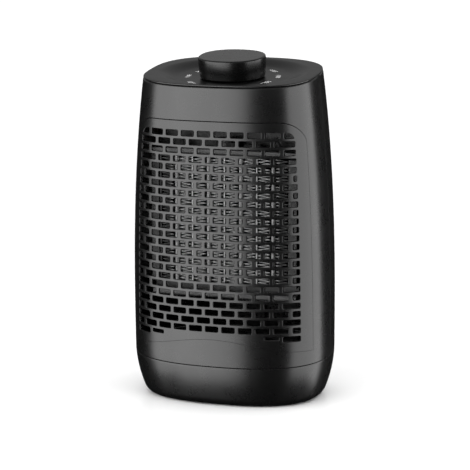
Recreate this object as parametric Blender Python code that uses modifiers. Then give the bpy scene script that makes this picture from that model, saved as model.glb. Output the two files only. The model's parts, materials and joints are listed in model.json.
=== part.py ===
"""Tabletop ceramic (PTC) fan heater.

A tapered, softly squared body with a slotted front grille, a dished and forward-tilted control
panel with one rotary knob, a PTC heating element, an axial fan driven by a shaded-pole motor,
and a tip-over switch in the base.  Metres, +Z up, front towards -Y, standing on z = 0.
"""
from math import atan, copysign, cos, pi, radians, sin, sqrt, tau

import bmesh
import bpy
from mathutils import Matrix, Vector

# ---------------------------------------------------------------- driving dimensions
GAP = 0.0003                      # between pieces that touch
WALL = 0.0020                     # moulded wall thickness
PLAN_SIDES = 36                   # facets round the body

HALF_WIDTH = 0.0723               # body plan at its widest height
FRONT_DEPTH = 0.0523              # plan centre to front
REAR_DEPTH = 0.0561               # plan centre to rear
DEPTH_GROWTH = 0.0010             # extra depth gained over PLAN_RISE of height
FRONT_SQUARENESS = 2.49           # superellipse exponents low down
REAR_SQUARENESS = 2.42
FRONT_SQUARING = 0.42             # exponent gained over PLAN_RISE
REAR_SQUARING = 0.33
PLAN_BASE_Z = 0.030
PLAN_RISE = 0.200
PLAN_CENTRE_Y = -0.0026           # puts the footprint's centre on the origin
LEAN = -0.0030                    # forward drift of the plan centre over PLAN_RISE

WIDEST_Z = 0.0362
RIM_Z = 0.2337                    # rim plane height above the plan centre
RIM_TILT = 0.128                  # slope of the rim plane, falling to the front
TOP_NARROWING = 0.134
TOP_CURVE = 2.57
BASE_NARROWING = 0.111
BASE_CURVE = 1.94
EDGE_HEIGHT = 0.0054              # rounded bottom edge
EDGE_INSET = 0.060
SEAM_Z = 0.0326                   # seam between base cover and shells
SEAM_TILT = 0.057
BASE_BOTTOM_Z = 0.0010            # the feet hold the base clear of the table

PANEL_WIDTH = 0.926               # grille panel, as a share of the body's width
PANEL_TOP_Z = 0.2040
PANEL_CORNER = 0.016
PANEL_ARCH_Z = 0.0453             # the panel's bottom edge is a cosine arch
PANEL_ARCH_RISE = 0.0041
ARCH_HALF_SPAN = 0.066

SLOT_ROWS = 25
SLOT_TOP_ROW_Z = 0.1950
SLOT_ROW_PITCH = 0.0060
SLOT_PITCH = 0.01208
SLOT_WIDTH = 0.0096
SLOT_HEIGHT = 0.0041
FIELD_WIDTH = 0.834               # slotted field, as a share of the body's width
FIELD_ARCH_Z = 0.0518
FIELD_ARCH_RISE = 0.0032
SLOT_LEAST = 0.0020               # a narrower slot at the field's edge joins its neighbour

REAR_PANEL_HALF_WIDTH = 0.044
REAR_PANEL_Z = (0.062, 0.196)
REAR_SLOT_PITCH = 0.0085
REAR_SLOT_HEIGHT = 0.0040

LID_HEIGHT = 0.0015               # top panel's upper face above the rim plane
LID_THICKNESS = 0.00135
DISH_CENTRE_Y = 0.0028            # from the knob axis, along the rim plane
DISH_HALF_WIDTH = 0.0555
DISH_HALF_DEPTH = 0.0452
DISH_DEPTH = 0.0037
DISH_WALL = 0.30                  # share of the dish's radius taken by its sloping wall

KNOB_Y = -0.0080                  # knob axis on the rim plane
KNOB_HALF_WIDTH = 0.0240
KNOB_HALF_DEPTH = 0.0213
KNOB_SQUARENESS = 2.2
KNOB_BOTTOM = -0.0017             # heights along the knob's axis, from the rim plane
KNOB_TOP = 0.01305
KNOB_BOSS_R = 0.0060
SHAFT_R = 0.0030
SHAFT_TOP = 0.0095
NECK_R = 0.0050                   # the switch's neck, through the top panel
SWITCH_WIDTH = 0.0260
SWITCH_SPAN = (-0.0207, -0.0039)  # bottom and top of the rotary switch's body

FAN_Z = 0.1270                    # fan and motor axis
DUCT_R = 0.0430
DUCT_WALL = 0.0018
DUCT_Y = (-0.0090, 0.0100)
BAFFLE_HALF_WIDTH = 0.0560
BAFFLE_Z = (0.0700, 0.1975)
SPIDER_HUB_R = 0.0140
SPIDER_Y = (0.0085, 0.0110)
SPIDER_ARM_HALF_WIDTH = 0.0040
BLADE_TIP_R = 0.0405
BLADE_CHORD = 0.0160
BLADE_PITCH = radians(45)
BLADES = 7
HUB_R = 0.0110
MOTOR_SHAFT_R = 0.0015
MOTOR_SCREW_X = 0.0185
CORE_Y = (0.0190, 0.0330)
CORE_HALF_WIDTH = 0.0240
CORE_SPAN = (-0.0180, 0.0380)     # bottom and top, from the fan axis
CORE_WINDOW = (0.0180, 0.0290)
CORE_WINDOW_HALF_WIDTH = 0.0140
COIL_SPAN = (0.0190, 0.0480)
COIL_HALF_WIDTH = 0.0135
COIL_OVERHANG = 0.0040            # past the core, to the front and the rear
BRACKET_HALF_WIDTH = 0.0220
BRACKET_HALF_HEIGHT = 0.0050
BRACKET_PAD_HALF_WIDTH = 0.0035
BRACKET_CUP_R = 0.0050
ROTOR_R = 0.0125
BUSH_R = 0.0030

PTC_PITCH = 0.0120                # between the element's plates and tubes
PTC_Z = (0.0842, 0.1755)
PTC_Y = (-0.0270, -0.0130)
PTC_FRAME_HALF_WIDTH = 0.0540
PTC_FRAME_Y = (-0.0285, -0.0110)
FRAME_FOOT_Z = (0.0749, 0.0785)   # front bars of the element's frame
FRAME_HEAD_Z = (0.1778, 0.1808)
SEAT_Y = -0.0210                  # behind this the frame reaches the element
TUBE_THICKNESS = 0.0030
PLATE_THICKNESS = 0.0010
FIN_ROWS = 14
FIN_THICKNESS = 0.0012

TERMINAL_X = 0.0360
CUTOUT_Y = -0.0200

PLUNGER_R = 0.0035
PLUNGER_TOP_Z = 0.0290
SPRING_Z = (0.0107, 0.0207)       # compressed length at rest
SPRING_R = 0.0049
SPRING_WIRE_R = 0.0003
SPRING_TURNS = 4
COLLAR_R = 0.0062                 # the plunger's collar, under the spring
COLLAR_Z = (0.0088, 0.0104)
HOUSING_HALF_WIDTH = 0.0100
HOUSING_HALF_DEPTH = 0.0080
HOUSING_TOP_Z = 0.0230
MICROSWITCH_X = (0.0103, 0.0303)
MICROSWITCH_HALF_DEPTH = 0.0045
MICROSWITCH_FLOOR_Z = 0.0150
LEVER_HALF_WIDTH = 0.0028
LEVER_PIN_R = 0.0005
LEVER_PIVOT = (0.0115, 0.0295)    # x, z
SWITCH_TOP_Z = 0.0280             # top of the microswitch under the lever

GLAND_Z = 0.0480                  # cord entry in the rear shell
GLAND_NECK_R = 0.0056
GLAND_BORE_R = 0.0034

FOOT_R = 0.0080
FOOT_STEM_R = 0.0024
FOOT_STEM_TOP = 0.0058
SCREW_HOLE_R = 0.0018
SCREW_R = 0.0015                  # base screws
SCREW_Z = (0.0012, 0.0180)
SCREW_HEAD_R = 0.0028
SCREW_HEAD_Z = (0.0009, 0.0019)
HEAD_RECESS_R = 0.0033
HEAD_RECESS_TOP = 0.0022
BOSS_R = 0.0040                   # screw posts inside the shells
BOSS_Z = (0.0060, 0.0460)
BOSS_BORE_TOP = 0.0400
BOSS_RIB_Z = (0.0360, 0.0460)
BOSS_RIB_HALF_WIDTH = 0.0010

FOOT_SPOTS = [(0.036, -0.026), (-0.036, -0.026), (0.036, 0.026), (-0.036, 0.026)]
SCREW_SPOTS = [(0.050, -0.016), (-0.050, -0.016), (0.050, 0.014), (-0.050, 0.014)]


# ---------------------------------------------------------------- scene and materials
def clear_scene():
    for item in list(bpy.data.objects):
        bpy.data.objects.remove(item, do_unlink=True)


def make_collection(name):
    collection = bpy.data.collections.new(name)
    bpy.context.scene.collection.children.link(collection)
    return collection


clear_scene()
PARTS = make_collection("ceramic_heater")
CUTTERS = make_collection("cutters")


def material(name, colour, roughness, metallic=0.0):
    made = bpy.data.materials.new(name)
    made.use_nodes = True
    shader = made.node_tree.nodes["Principled BSDF"]
    shader.inputs["Base Color"].default_value = (*colour, 1.0)
    shader.inputs["Roughness"].default_value = roughness
    shader.inputs["Metallic"].default_value = metallic
    return made


CHARCOAL = (0.030, 0.030, 0.032)
MATERIALS = {
    "shell": material("shell_plastic", CHARCOAL, 0.42),
    "grille": material("grille_plastic", CHARCOAL, 0.42),
    "panel": material("panel_plastic", (0.022, 0.022, 0.024), 0.45),
    "knob": material("knob_plastic", (0.020, 0.020, 0.021), 0.40),
    "frame": material("heatproof_plastic", (0.045, 0.043, 0.041), 0.60),
    "rubber": material("rubber", (0.015, 0.015, 0.015), 0.85),
    "aluminium": material("aluminium", (0.72, 0.73, 0.74), 0.32, 1.0),
    "steel": material("steel", (0.55, 0.56, 0.58), 0.35, 1.0),
    "lamination": material("lamination_steel", (0.20, 0.20, 0.21), 0.50, 0.8),
    "copper": material("copper_winding", (0.62, 0.27, 0.12), 0.40, 0.9),
    "bronze": material("sintered_bronze", (0.50, 0.34, 0.16), 0.45, 0.9),
    "brass": material("brass", (0.70, 0.52, 0.22), 0.35, 1.0),
    "switch": material("switch_plastic", (0.040, 0.040, 0.042), 0.50),
    "fan": material("fan_plastic", (0.10, 0.10, 0.11), 0.50),
}


# ---------------------------------------------------------------- modelling helpers
def add_object(name, mesh, slot=None, parent=None):
    """An object for a mesh: a part if it has a material slot, otherwise a cutter."""
    item = bpy.data.objects.new(name, mesh)
    if slot:
        mesh.materials.append(MATERIALS[slot])
        mesh.shade_smooth()
        mesh.set_sharp_from_angle(angle=radians(35))
        PARTS.objects.link(item)
    else:
        CUTTERS.objects.link(item)
        item.hide_render = True
        item.display_type = "WIRE"
    item.parent = parent
    return item


def mesh_from(bm, name):
    bmesh.ops.recalc_face_normals(bm, faces=bm.faces)
    mesh = bpy.data.meshes.new(name)
    bm.to_mesh(mesh)
    bm.free()
    return mesh


def add_box(name, low, high, slot=None, parent=None, bevel=0.0):
    bm = bmesh.new()
    bmesh.ops.create_cube(bm, size=1.0)
    low, high = Vector(low), Vector(high)
    bmesh.ops.scale(bm, vec=high - low, verts=bm.verts)
    bmesh.ops.translate(bm, vec=(low + high) / 2, verts=bm.verts)
    item = add_object(name, mesh_from(bm, name), slot, parent)
    if bevel:
        edge = item.modifiers.new("rounded", "BEVEL")
        edge.width = bevel
        edge.segments = 1
    return item


AXIS_TURN = {
    "X": Matrix.Rotation(pi / 2, 4, "Y"),
    "Y": Matrix.Rotation(-pi / 2, 4, "X"),
    "Z": Matrix.Identity(4),
}


def add_cylinder(name, radius, start, end, centre=(0, 0), axis="Z", slot=None, parent=None,
                 segments=16):
    """A cylinder from start to end along its axis, through centre in the other two."""
    bm = bmesh.new()
    bmesh.ops.create_cone(bm, cap_ends=True, segments=segments, radius1=radius, radius2=radius,
                          depth=end - start)
    bmesh.ops.transform(bm, matrix=AXIS_TURN[axis], verts=bm.verts)
    middle = list(centre)
    middle.insert("XYZ".index(axis), (start + end) / 2)
    bmesh.ops.translate(bm, vec=middle, verts=bm.verts)
    return add_object(name, mesh_from(bm, name), slot, parent)


def add_turned(name, profile, centre=(0, 0), axis="Z", slot=None, parent=None, segments=20):
    """A closed profile of (radius, height) points, swept round the axis by a Screw modifier.

    The profile runs down its outer side, so that the faces point out.
    """
    bm = bmesh.new()
    verts = [bm.verts.new((radius, 0, height)) for radius, height in profile]
    for here, there in zip(verts, verts[1:] + verts[:1]):
        bm.edges.new((here, there))
    mesh = bpy.data.meshes.new(name)
    bm.to_mesh(mesh)
    bm.free()
    item = add_object(name, mesh, slot, parent)
    turn = item.modifiers.new("turned", "SCREW")
    turn.steps = turn.render_steps = segments
    turn.use_merge_vertices = True
    turn.merge_threshold = 0.00001
    middle = list(centre)
    middle.insert("XYZ".index(axis), 0.0)
    item.matrix_basis = Matrix.Translation(middle) @ AXIS_TURN[axis]
    return item


def ring_profile(outer, inner, start, end):
    return [(outer, end), (outer, start), (inner, start), (inner, end)]


def add_loft(name, rings, slot=None, parent=None):
    """A solid through closed rings of equal length, with flat caps."""
    bm = bmesh.new()
    loops = [[bm.verts.new(point) for point in ring] for ring in rings]
    for low, high in zip(loops, loops[1:]):
        for i in range(len(low)):
            j = (i + 1) % len(low)
            bm.faces.new((low[i], low[j], high[j], high[i]))
    bm.faces.new(loops[0])
    bm.faces.new(loops[-1])
    return add_object(name, mesh_from(bm, name), slot, parent)


def add_prism(name, outline, start, end, slot=None, parent=None):
    """An outline of (x, z) points extruded along Y."""
    rings = [[(x, y, z) for x, z in outline] for y in (start, end)]
    return add_loft(name, rings, slot, parent)


def boolean(item, other, operation):
    step = item.modifiers.new(operation.lower(), "BOOLEAN")
    step.operation = operation
    step.solver = "EXACT"
    step.object = other
    return item


def cut(item, *others):
    for other in others:
        boolean(item, other, "DIFFERENCE")
    return item


def join(item, *others):
    for other in others:
        boolean(item, other, "UNION")
    return item


# ---------------------------------------------------------------- body surface
def superellipse(angle, half_width, half_depth, squareness):
    """A plan point at an angle measured from the front (-Y) towards +X."""
    across, along = sin(angle), cos(angle)
    x = copysign(half_width * abs(across) ** (2 / squareness), across)
    y = -copysign(half_depth * abs(along) ** (2 / squareness), along)
    return x, y


def body_scale(z):
    above = max(z - WIDEST_Z, 0.0) / (RIM_Z - WIDEST_Z)
    below = max(WIDEST_Z - z, 0.0) / WIDEST_Z
    edge = max(EDGE_HEIGHT - z, 0.0) / EDGE_HEIGHT
    return (1.0 - TOP_NARROWING * above ** TOP_CURVE - BASE_NARROWING * below ** BASE_CURVE
            - EDGE_INSET * (1.0 - sqrt(1.0 - edge ** 2)))


def plan_shape(front, z):
    """Centre, half width, half depth and squareness of the body's plan at one height."""
    rise = (z - PLAN_BASE_Z) / PLAN_RISE
    if front:
        depth, squareness = FRONT_DEPTH, FRONT_SQUARENESS + FRONT_SQUARING * rise
    else:
        depth, squareness = REAR_DEPTH, REAR_SQUARENESS + REAR_SQUARING * rise
    scale = body_scale(z)
    return (PLAN_CENTRE_Y + LEAN * rise, HALF_WIDTH * scale,
            (depth + DEPTH_GROWTH * rise) * scale, squareness)


def body_point(angle, z, inset=0.0):
    centre_y, half_width, half_depth, squareness = plan_shape(cos(angle) > 0.0, z)
    x, y = superellipse(angle, half_width - inset, half_depth - inset, squareness)
    return Vector((x, y + centre_y, z))


def body_half_width(y, z):
    """Half the body's width at a given depth and height."""
    centre_y, half_width, half_depth, squareness = plan_shape(y < PLAN_CENTRE_Y, z)
    return half_width * (1.0 - abs((y - centre_y) / half_depth) ** squareness) ** (1 / squareness)


def point_on_plane(angle, height, slope, inset=0.0):
    """Where the body surface meets the plane z = height + slope * (y - PLAN_CENTRE_Y)."""
    point = body_point(angle, height, inset)
    for _ in range(6):
        point = body_point(angle, height + slope * (point.y - PLAN_CENTRE_Y), inset)
    return point


def angles(count=PLAN_SIDES):
    return [tau * i / count - pi for i in range(count)]


def add_wall(name, slot, levels=6):
    """The body's side wall as an open surface, thickened inwards."""
    bm = bmesh.new()
    rows = []
    for level in range(levels + 1):
        share = level / levels
        row = []
        for angle in angles():
            low = point_on_plane(angle, SEAM_Z + GAP / 2, SEAM_TILT)
            high = point_on_plane(angle, RIM_Z - GAP / 2, RIM_TILT)
            row.append(bm.verts.new(body_point(angle, low.z + (high.z - low.z) * share)))
        rows.append(row)
    for low, high in zip(rows, rows[1:]):
        for i in range(PLAN_SIDES):
            j = (i + 1) % PLAN_SIDES
            bm.faces.new((low[i], low[j], high[j], high[i]))
    return thicken(add_object(name, mesh_from(bm, name), slot), WALL)


def thicken(item, thickness):
    solid = item.modifiers.new("thickness", "SOLIDIFY")
    solid.thickness = thickness
    solid.offset = -1.0
    solid.use_even_offset = True
    return item


# ---------------------------------------------------------------- outlines on the front
def half_width_at(z):
    return HALF_WIDTH * body_scale(z)


def arch(x, height, rise):
    return height + rise * cos(pi * x / ARCH_HALF_SPAN)


def panel_outline(inset, steps=5):
    """The grille panel seen from the front: arched foot, flaring sides, round top corners."""
    top = PANEL_TOP_Z - inset
    half = half_width_at(top - PANEL_CORNER) * PANEL_WIDTH - inset
    corner = PANEL_CORNER - inset
    right = []
    for i in range(5):
        x = (half_width_at(PANEL_ARCH_Z) * PANEL_WIDTH - inset) * i / 4
        right.append((x, arch(x, PANEL_ARCH_Z, PANEL_ARCH_RISE) + inset))
    for i in range(1, 5):
        z = PANEL_ARCH_Z + (top - corner - PANEL_ARCH_Z) * i / 5
        right.append((half_width_at(z) * PANEL_WIDTH - inset, z))
    for i in range(steps + 1):
        turn = pi / 2 * i / steps
        right.append((half - corner + corner * cos(turn), top - corner + corner * sin(turn)))
    return right + [(-x, z) for x, z in reversed(right) if x > 0.0]


def slot_spans(row):
    """The (left, right, bottom, top) of every slot in one row of the brick pattern."""
    z = SLOT_TOP_ROW_Z - SLOT_ROW_PITCH * row
    edge = half_width_at(z) * FIELD_WIDTH
    shift = 0.5 if row % 2 == 0 else 0.0
    low, high = z - SLOT_HEIGHT / 2, z + SLOT_HEIGHT / 2
    reach = edge - (SLOT_PITCH - SLOT_WIDTH) - SLOT_LEAST
    spans = []
    for k in range(-6, 7):
        centre = (k + shift) * SLOT_PITCH
        left, right = centre - SLOT_WIDTH / 2, centre + SLOT_WIDTH / 2
        left = left if left > -reach else -edge
        right = right if right < reach else edge
        bottom = max(low, arch((left + right) / 2, FIELD_ARCH_Z, FIELD_ARCH_RISE))
        if right - left > SLOT_LEAST and high - bottom > SLOT_LEAST:
            spans.append((left, right, bottom, high))
    return spans


def add_slot_cutters(name, spans, start, end):
    """One cutter made of separate boxes, each running from start to end along Y."""
    bm = bmesh.new()
    for left, right, bottom, top in spans:
        made = bmesh.ops.create_cube(bm, size=1.0)["verts"]
        bmesh.ops.scale(bm, vec=(right - left, end - start, top - bottom), verts=made)
        middle = ((left + right) / 2, (start + end) / 2, (bottom + top) / 2)
        bmesh.ops.translate(bm, vec=middle, verts=made)
    return add_object(name, mesh_from(bm, name))


# ---------------------------------------------------------------- casing
SPLIT_Y = PLAN_CENTRE_Y           # front and rear shells part here
FAR = 0.12                        # beyond every surface of the body


def add_screw_boss(shell, index, x, y):
    """A screw post inside a shell, tied to the wall by a rib."""
    post = add_cylinder(f"boss_{index}_post", BOSS_R, *BOSS_Z, (x, y))
    rib_low, rib_high = BOSS_RIB_Z
    wall_x = copysign(body_half_width(y, (rib_low + rib_high) / 2) - WALL / 2, x)
    low, high = sorted((x, wall_x))
    rib = add_box(f"boss_{index}_rib", (low, y - BOSS_RIB_HALF_WIDTH, rib_low),
                  (high, y + BOSS_RIB_HALF_WIDTH, rib_high))
    bore = add_cylinder(f"boss_{index}_bore", SCREW_HOLE_R, BOSS_Z[0] - 0.0010, BOSS_BORE_TOP,
                        (x, y))
    join(shell, rib, post)
    cut(shell, bore)


def make_casing():
    window = add_prism("window_cutter", panel_outline(0.0), -FAR, -0.012)
    rear_low, rear_high = REAR_PANEL_Z
    rear_window = add_box("rear_window_cutter", (-REAR_PANEL_HALF_WIDTH, 0.015, rear_low),
                          (REAR_PANEL_HALF_WIDTH, FAR, rear_high))
    front_half = add_box("front_half", (-FAR, -FAR, -FAR), (FAR, SPLIT_Y - GAP / 2, 3 * FAR))
    rear_half = add_box("rear_half", (-FAR, SPLIT_Y + GAP / 2, -FAR), (FAR, FAR, 3 * FAR))

    front = cut(boolean(add_wall("front_shell", "shell"), front_half, "INTERSECT"), window)
    rear = cut(boolean(add_wall("rear_shell", "shell"), rear_half, "INTERSECT"), rear_window)
    for index, (x, y) in enumerate(SCREW_SPOTS, start=1):
        add_screw_boss(front if y < SPLIT_Y else rear, index, x, y)
    inlet = add_cylinder("inlet_cutter", GLAND_NECK_R + GAP, 0.03, FAR, (0, GLAND_Z), "Y")
    cut(rear, inlet)
    make_front_grille()
    make_rear_grille()


def make_front_grille():
    grille = add_wall("front_grille", "grille", levels=3)
    inside = add_prism("grille_outline", panel_outline(GAP), -FAR, -0.013)
    boolean(grille, inside, "INTERSECT")
    spans = [span for row in range(SLOT_ROWS) for span in slot_spans(row)]
    cut(grille, add_slot_cutters("slot_cutters", spans, -FAR, -0.010))


def make_rear_grille():
    grille = add_wall("rear_grille", "grille", levels=3)
    low, high = REAR_PANEL_Z
    half = REAR_PANEL_HALF_WIDTH - GAP
    inside = add_box("rear_outline", (-half, 0.016, low + GAP), (half, FAR, high - GAP))
    boolean(grille, inside, "INTERSECT")
    rows = int((high - low - 0.010) / REAR_SLOT_PITCH)
    first = (low + high) / 2 - REAR_SLOT_PITCH * (rows - 1) / 2
    spans = []
    for row in range(rows):
        z = first + REAR_SLOT_PITCH * row
        for left, right in ((-0.0395, -0.0015), (0.0015, 0.0395)):
            spans.append((left, right, z - REAR_SLOT_HEIGHT / 2, z + REAR_SLOT_HEIGHT / 2))
    cut(grille, add_slot_cutters("rear_slot_cutters", spans, 0.010, FAR))


def make_base_cover():
    """A shallow cup: flat floor, rounded edge, flanks up to the seam."""
    heights = [BASE_BOTTOM_Z, 0.0024, 0.0056, 0.0170]
    rings = [[body_point(angle, z) for angle in angles()] for z in heights]
    rings.append([point_on_plane(angle, SEAM_Z - GAP / 2, SEAM_TILT) for angle in angles()])
    bm = bmesh.new()
    loops = [[bm.verts.new(point) for point in ring] for ring in rings]
    for low, high in zip(loops, loops[1:]):
        for i in range(PLAN_SIDES):
            j = (i + 1) % PLAN_SIDES
            bm.faces.new((low[i], low[j], high[j], high[i]))
    bm.faces.new(list(reversed(loops[0])))
    mesh = bpy.data.meshes.new("base_cover")
    bm.to_mesh(mesh)
    bm.free()
    base = thicken(add_object("base_cover", mesh, "shell"), WALL)
    holes = [(PLUNGER_R + 0.0008, 0.0, 0.0)]
    holes += [(FOOT_STEM_R + GAP, x, y) for x, y in FOOT_SPOTS]
    holes += [(SCREW_HOLE_R, x, y) for x, y in SCREW_SPOTS]
    for index, (radius, x, y) in enumerate(holes):
        cut(base, add_cylinder(f"base_hole_{index}", radius, -0.01, 0.006, (x, y)))
    for index, (x, y) in enumerate(SCREW_SPOTS):
        cut(base, add_cylinder(f"head_recess_{index}", HEAD_RECESS_R, -0.01, HEAD_RECESS_TOP,
                               (x, y)))


def make_feet_and_screws():
    for index, (x, y) in enumerate(FOOT_SPOTS, start=1):
        foot = add_cylinder(f"foot_{index}", FOOT_R, 0.0, BASE_BOTTOM_Z - GAP, (x, y),
                            slot="rubber")
        stem = add_cylinder(f"foot_{index}_stem", FOOT_STEM_R, GAP, FOOT_STEM_TOP, (x, y))
        join(foot, stem)
    for index, (x, y) in enumerate(SCREW_SPOTS, start=1):
        screw = add_cylinder(f"base_screw_{index}", SCREW_R, *SCREW_Z, (x, y), slot="steel")
        head = add_cylinder(f"base_screw_{index}_head", SCREW_HEAD_R, *SCREW_HEAD_Z, (x, y))
        join(screw, head)


# ---------------------------------------------------------------- top panel and knob
TILT = atan(RIM_TILT)
CONTROL_FRAME = bpy.data.objects.new("control_axis", None)
CONTROL_FRAME.location = (0.0, KNOB_Y, RIM_Z + RIM_TILT * (KNOB_Y - PLAN_CENTRE_Y))
CONTROL_FRAME.rotation_euler = (TILT, 0.0, 0.0)
PARTS.objects.link(CONTROL_FRAME)


def to_control_frame(point):
    turn = Matrix.Rotation(TILT, 4, "X")
    return (Matrix.Translation(CONTROL_FRAME.location) @ turn).inverted() @ point


def dish_height(reach):
    """Height of the panel's upper face, by the share of the dish's radius."""
    share = min(max((1.0 - reach) / DISH_WALL, 0.0), 1.0)
    return LID_HEIGHT - DISH_DEPTH * share * share * (3.0 - 2.0 * share)


def make_top_panel():
    """A dished lid: its upper face from the switch's hole to the rim, then its underside."""

    def ellipse(reach):
        return [
            Vector((DISH_HALF_WIDTH * reach * sin(a),
                    DISH_CENTRE_Y - DISH_HALF_DEPTH * reach * cos(a)))
            for a in angles()
        ]

    hole = [(NECK_R + GAP) * Vector((sin(a), -cos(a))) for a in angles()]
    rim = [to_control_frame(point_on_plane(a, RIM_Z, RIM_TILT)).xy for a in angles()]
    upper = [(hole, dish_height(0.0))]
    upper += [(ellipse(reach), dish_height(reach)) for reach in (0.70, 0.80, 0.90, 1.0)]
    lower = [(plan, height - LID_THICKNESS) for plan, height in reversed(upper)]
    edge = [
        ([p * (1.0 - inset / p.length) for p in rim], height)
        for inset, height in ((0.0010, LID_HEIGHT), (0.0002, LID_HEIGHT - 0.0007),
                              (0.0002, LID_HEIGHT - LID_THICKNESS))
    ]
    rings = [[(p.x, p.y, height) for p in plan] for plan, height in upper + edge + lower]
    bm = bmesh.new()
    loops = [[bm.verts.new(point) for point in ring] for ring in rings]
    for near, far in zip(loops, loops[1:] + loops[:1]):
        for i in range(PLAN_SIDES):
            j = (i + 1) % PLAN_SIDES
            bm.faces.new((near[i], far[i], far[j], near[j]))
    add_object("top_panel", mesh_from(bm, "top_panel"), "panel", CONTROL_FRAME)


def knob_ring(height, inset):
    return [
        (*superellipse(a, KNOB_HALF_WIDTH - inset, KNOB_HALF_DEPTH - inset, KNOB_SQUARENESS),
         height)
        for a in angles(32)
    ]


def make_control():
    knob = add_loft("control_knob", [
        knob_ring(KNOB_BOTTOM, 0.0010),
        knob_ring(KNOB_BOTTOM + 0.0010, 0.0001),
        knob_ring(KNOB_TOP - 0.0014, 0.0),
        knob_ring(KNOB_TOP - 0.0004, 0.0005),
        knob_ring(KNOB_TOP, 0.0016),
    ], "knob", CONTROL_FRAME)
    hollow = add_loft("knob_hollow", [knob_ring(KNOB_BOTTOM - 0.002, WALL),
                                      knob_ring(KNOB_TOP - 0.0023, WALL)],
                      parent=CONTROL_FRAME)
    boss = add_cylinder("knob_boss", KNOB_BOSS_R, 0.0008, KNOB_TOP - 0.0018,
                        parent=CONTROL_FRAME)
    bore = add_cylinder("knob_bore", SHAFT_R + GAP, 0.0, SHAFT_TOP + GAP, parent=CONTROL_FRAME)
    cut(join(cut(knob, hollow), boss), bore)

    low, high = SWITCH_SPAN
    add_cylinder("knob_shaft", SHAFT_R, low + 0.0040, SHAFT_TOP, slot="steel",
                 parent=CONTROL_FRAME)
    half = SWITCH_WIDTH / 2
    body = add_box("rotary_switch", (-half, -half, low), (half, half, high), "switch",
                   CONTROL_FRAME, bevel=0.001)
    neck = add_cylinder("switch_neck", NECK_R, high - 0.0010, 0.0001, parent=CONTROL_FRAME)
    bore = add_cylinder("switch_bore", SHAFT_R + GAP, low + 0.0036, SHAFT_TOP,
                        parent=CONTROL_FRAME)
    cut(join(body, neck), bore)

    floor = dish_height(0.0)
    nut = add_cylinder("switch_nut", 0.0085, floor + GAP, floor + 0.0020, slot="steel",
                       parent=CONTROL_FRAME, segments=6)
    cut(nut, add_cylinder("nut_bore", NECK_R + GAP, -0.01, 0.01, parent=CONTROL_FRAME))


# ---------------------------------------------------------------- heating element
def comb_outline(left, right, plate, low, high):
    """A vertical plate with fins to both sides, where there is room for them."""
    half = PLATE_THICKNESS / 2
    pitch = (high - low) / FIN_ROWS

    def edge(reach, face):
        points = [(face, low)]
        if abs(reach - face) > PLATE_THICKNESS:
            for row in range(FIN_ROWS):
                z = low + pitch * (row + 0.5)
                bottom, top = z - FIN_THICKNESS / 2, z + FIN_THICKNESS / 2
                points += [(face, bottom), (reach, bottom), (reach, top), (face, top)]
        return points + [(face, high)]

    return edge(right, plate + half) + list(reversed(edge(left, plate - half)))


def make_heating_element():
    low, high = PTC_Z
    front, back = PTC_Y
    for index, place in enumerate((-3, -1, 1, 3), start=1):
        x = place * PTC_PITCH
        add_box(f"ptc_tube_{index}", (x - TUBE_THICKNESS / 2, front, low),
                (x + TUBE_THICKNESS / 2, back, high), "aluminium")
    for index, place in enumerate((-4, -2, 0, 2, 4), start=1):
        x = place * PTC_PITCH
        inner = PTC_PITCH - TUBE_THICKNESS / 2 - GAP
        left = x - (inner if place > -4 else PLATE_THICKNESS / 2)
        right = x + (inner if place < 4 else PLATE_THICKNESS / 2)
        add_prism(f"fin_pack_{index}", comb_outline(left, right, x, low, high), front + 0.0005,
                  back - 0.0005, "aluminium")
    make_element_frame()


def make_element_frame():
    """Two end pieces with a thin front bar and a set-back seat each, and two side rails."""
    low, high = PTC_Z
    front, back = PTC_FRAME_Y
    wide = PTC_FRAME_HALF_WIDTH
    ends = (("bottom", FRAME_FOOT_Z, (FRAME_FOOT_Z[0], low - GAP)),
            ("top", FRAME_HEAD_Z, (high + GAP, FRAME_HEAD_Z[1])))
    for name, bar, seat in ends:
        end = add_box(f"element_frame_{name}", (-wide, front, bar[0]), (wide, back, bar[1]),
                      "frame")
        join(end, add_box(f"frame_seat_{name}", (-wide, SEAT_Y, seat[0]),
                          (wide, back, seat[1])))
    side = 4 * PTC_PITCH + PLATE_THICKNESS / 2 + GAP
    for name, sign in (("left", -1.0), ("right", 1.0)):
        x_low, x_high = sorted((sign * side, sign * wide))
        add_box(f"element_rail_{name}", (x_low, front, low), (x_high, back, high), "frame")
    top = FRAME_HEAD_Z[1] + GAP
    for name, x in (("left", -TERMINAL_X), ("right", TERMINAL_X)):
        blade = add_box(f"element_terminal_{name}", (x - 0.0032, CUTOUT_Y - 0.0004, top),
                        (x + 0.0032, CUTOUT_Y + 0.0004, top + 0.0090), "brass")
        cut(blade, add_cylinder(f"terminal_{name}_eye", 0.0010, -0.03, -0.01,
                                (x, top + 0.0060), "Y", segments=12))
    cutout = add_cylinder("thermal_cutout", 0.0080, top, top + 0.0045, (0.0, CUTOUT_Y),
                          slot="frame", segments=28)
    join(cutout, add_cylinder("cutout_cap", 0.0064, top + 0.0040, top + 0.0075,
                              (0.0, CUTOUT_Y)))
    add_cylinder("thermal_fuse", 0.0019, 0.0130, 0.0250, (CUTOUT_Y, top + 0.0019), "X",
                 slot="rubber")


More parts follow.
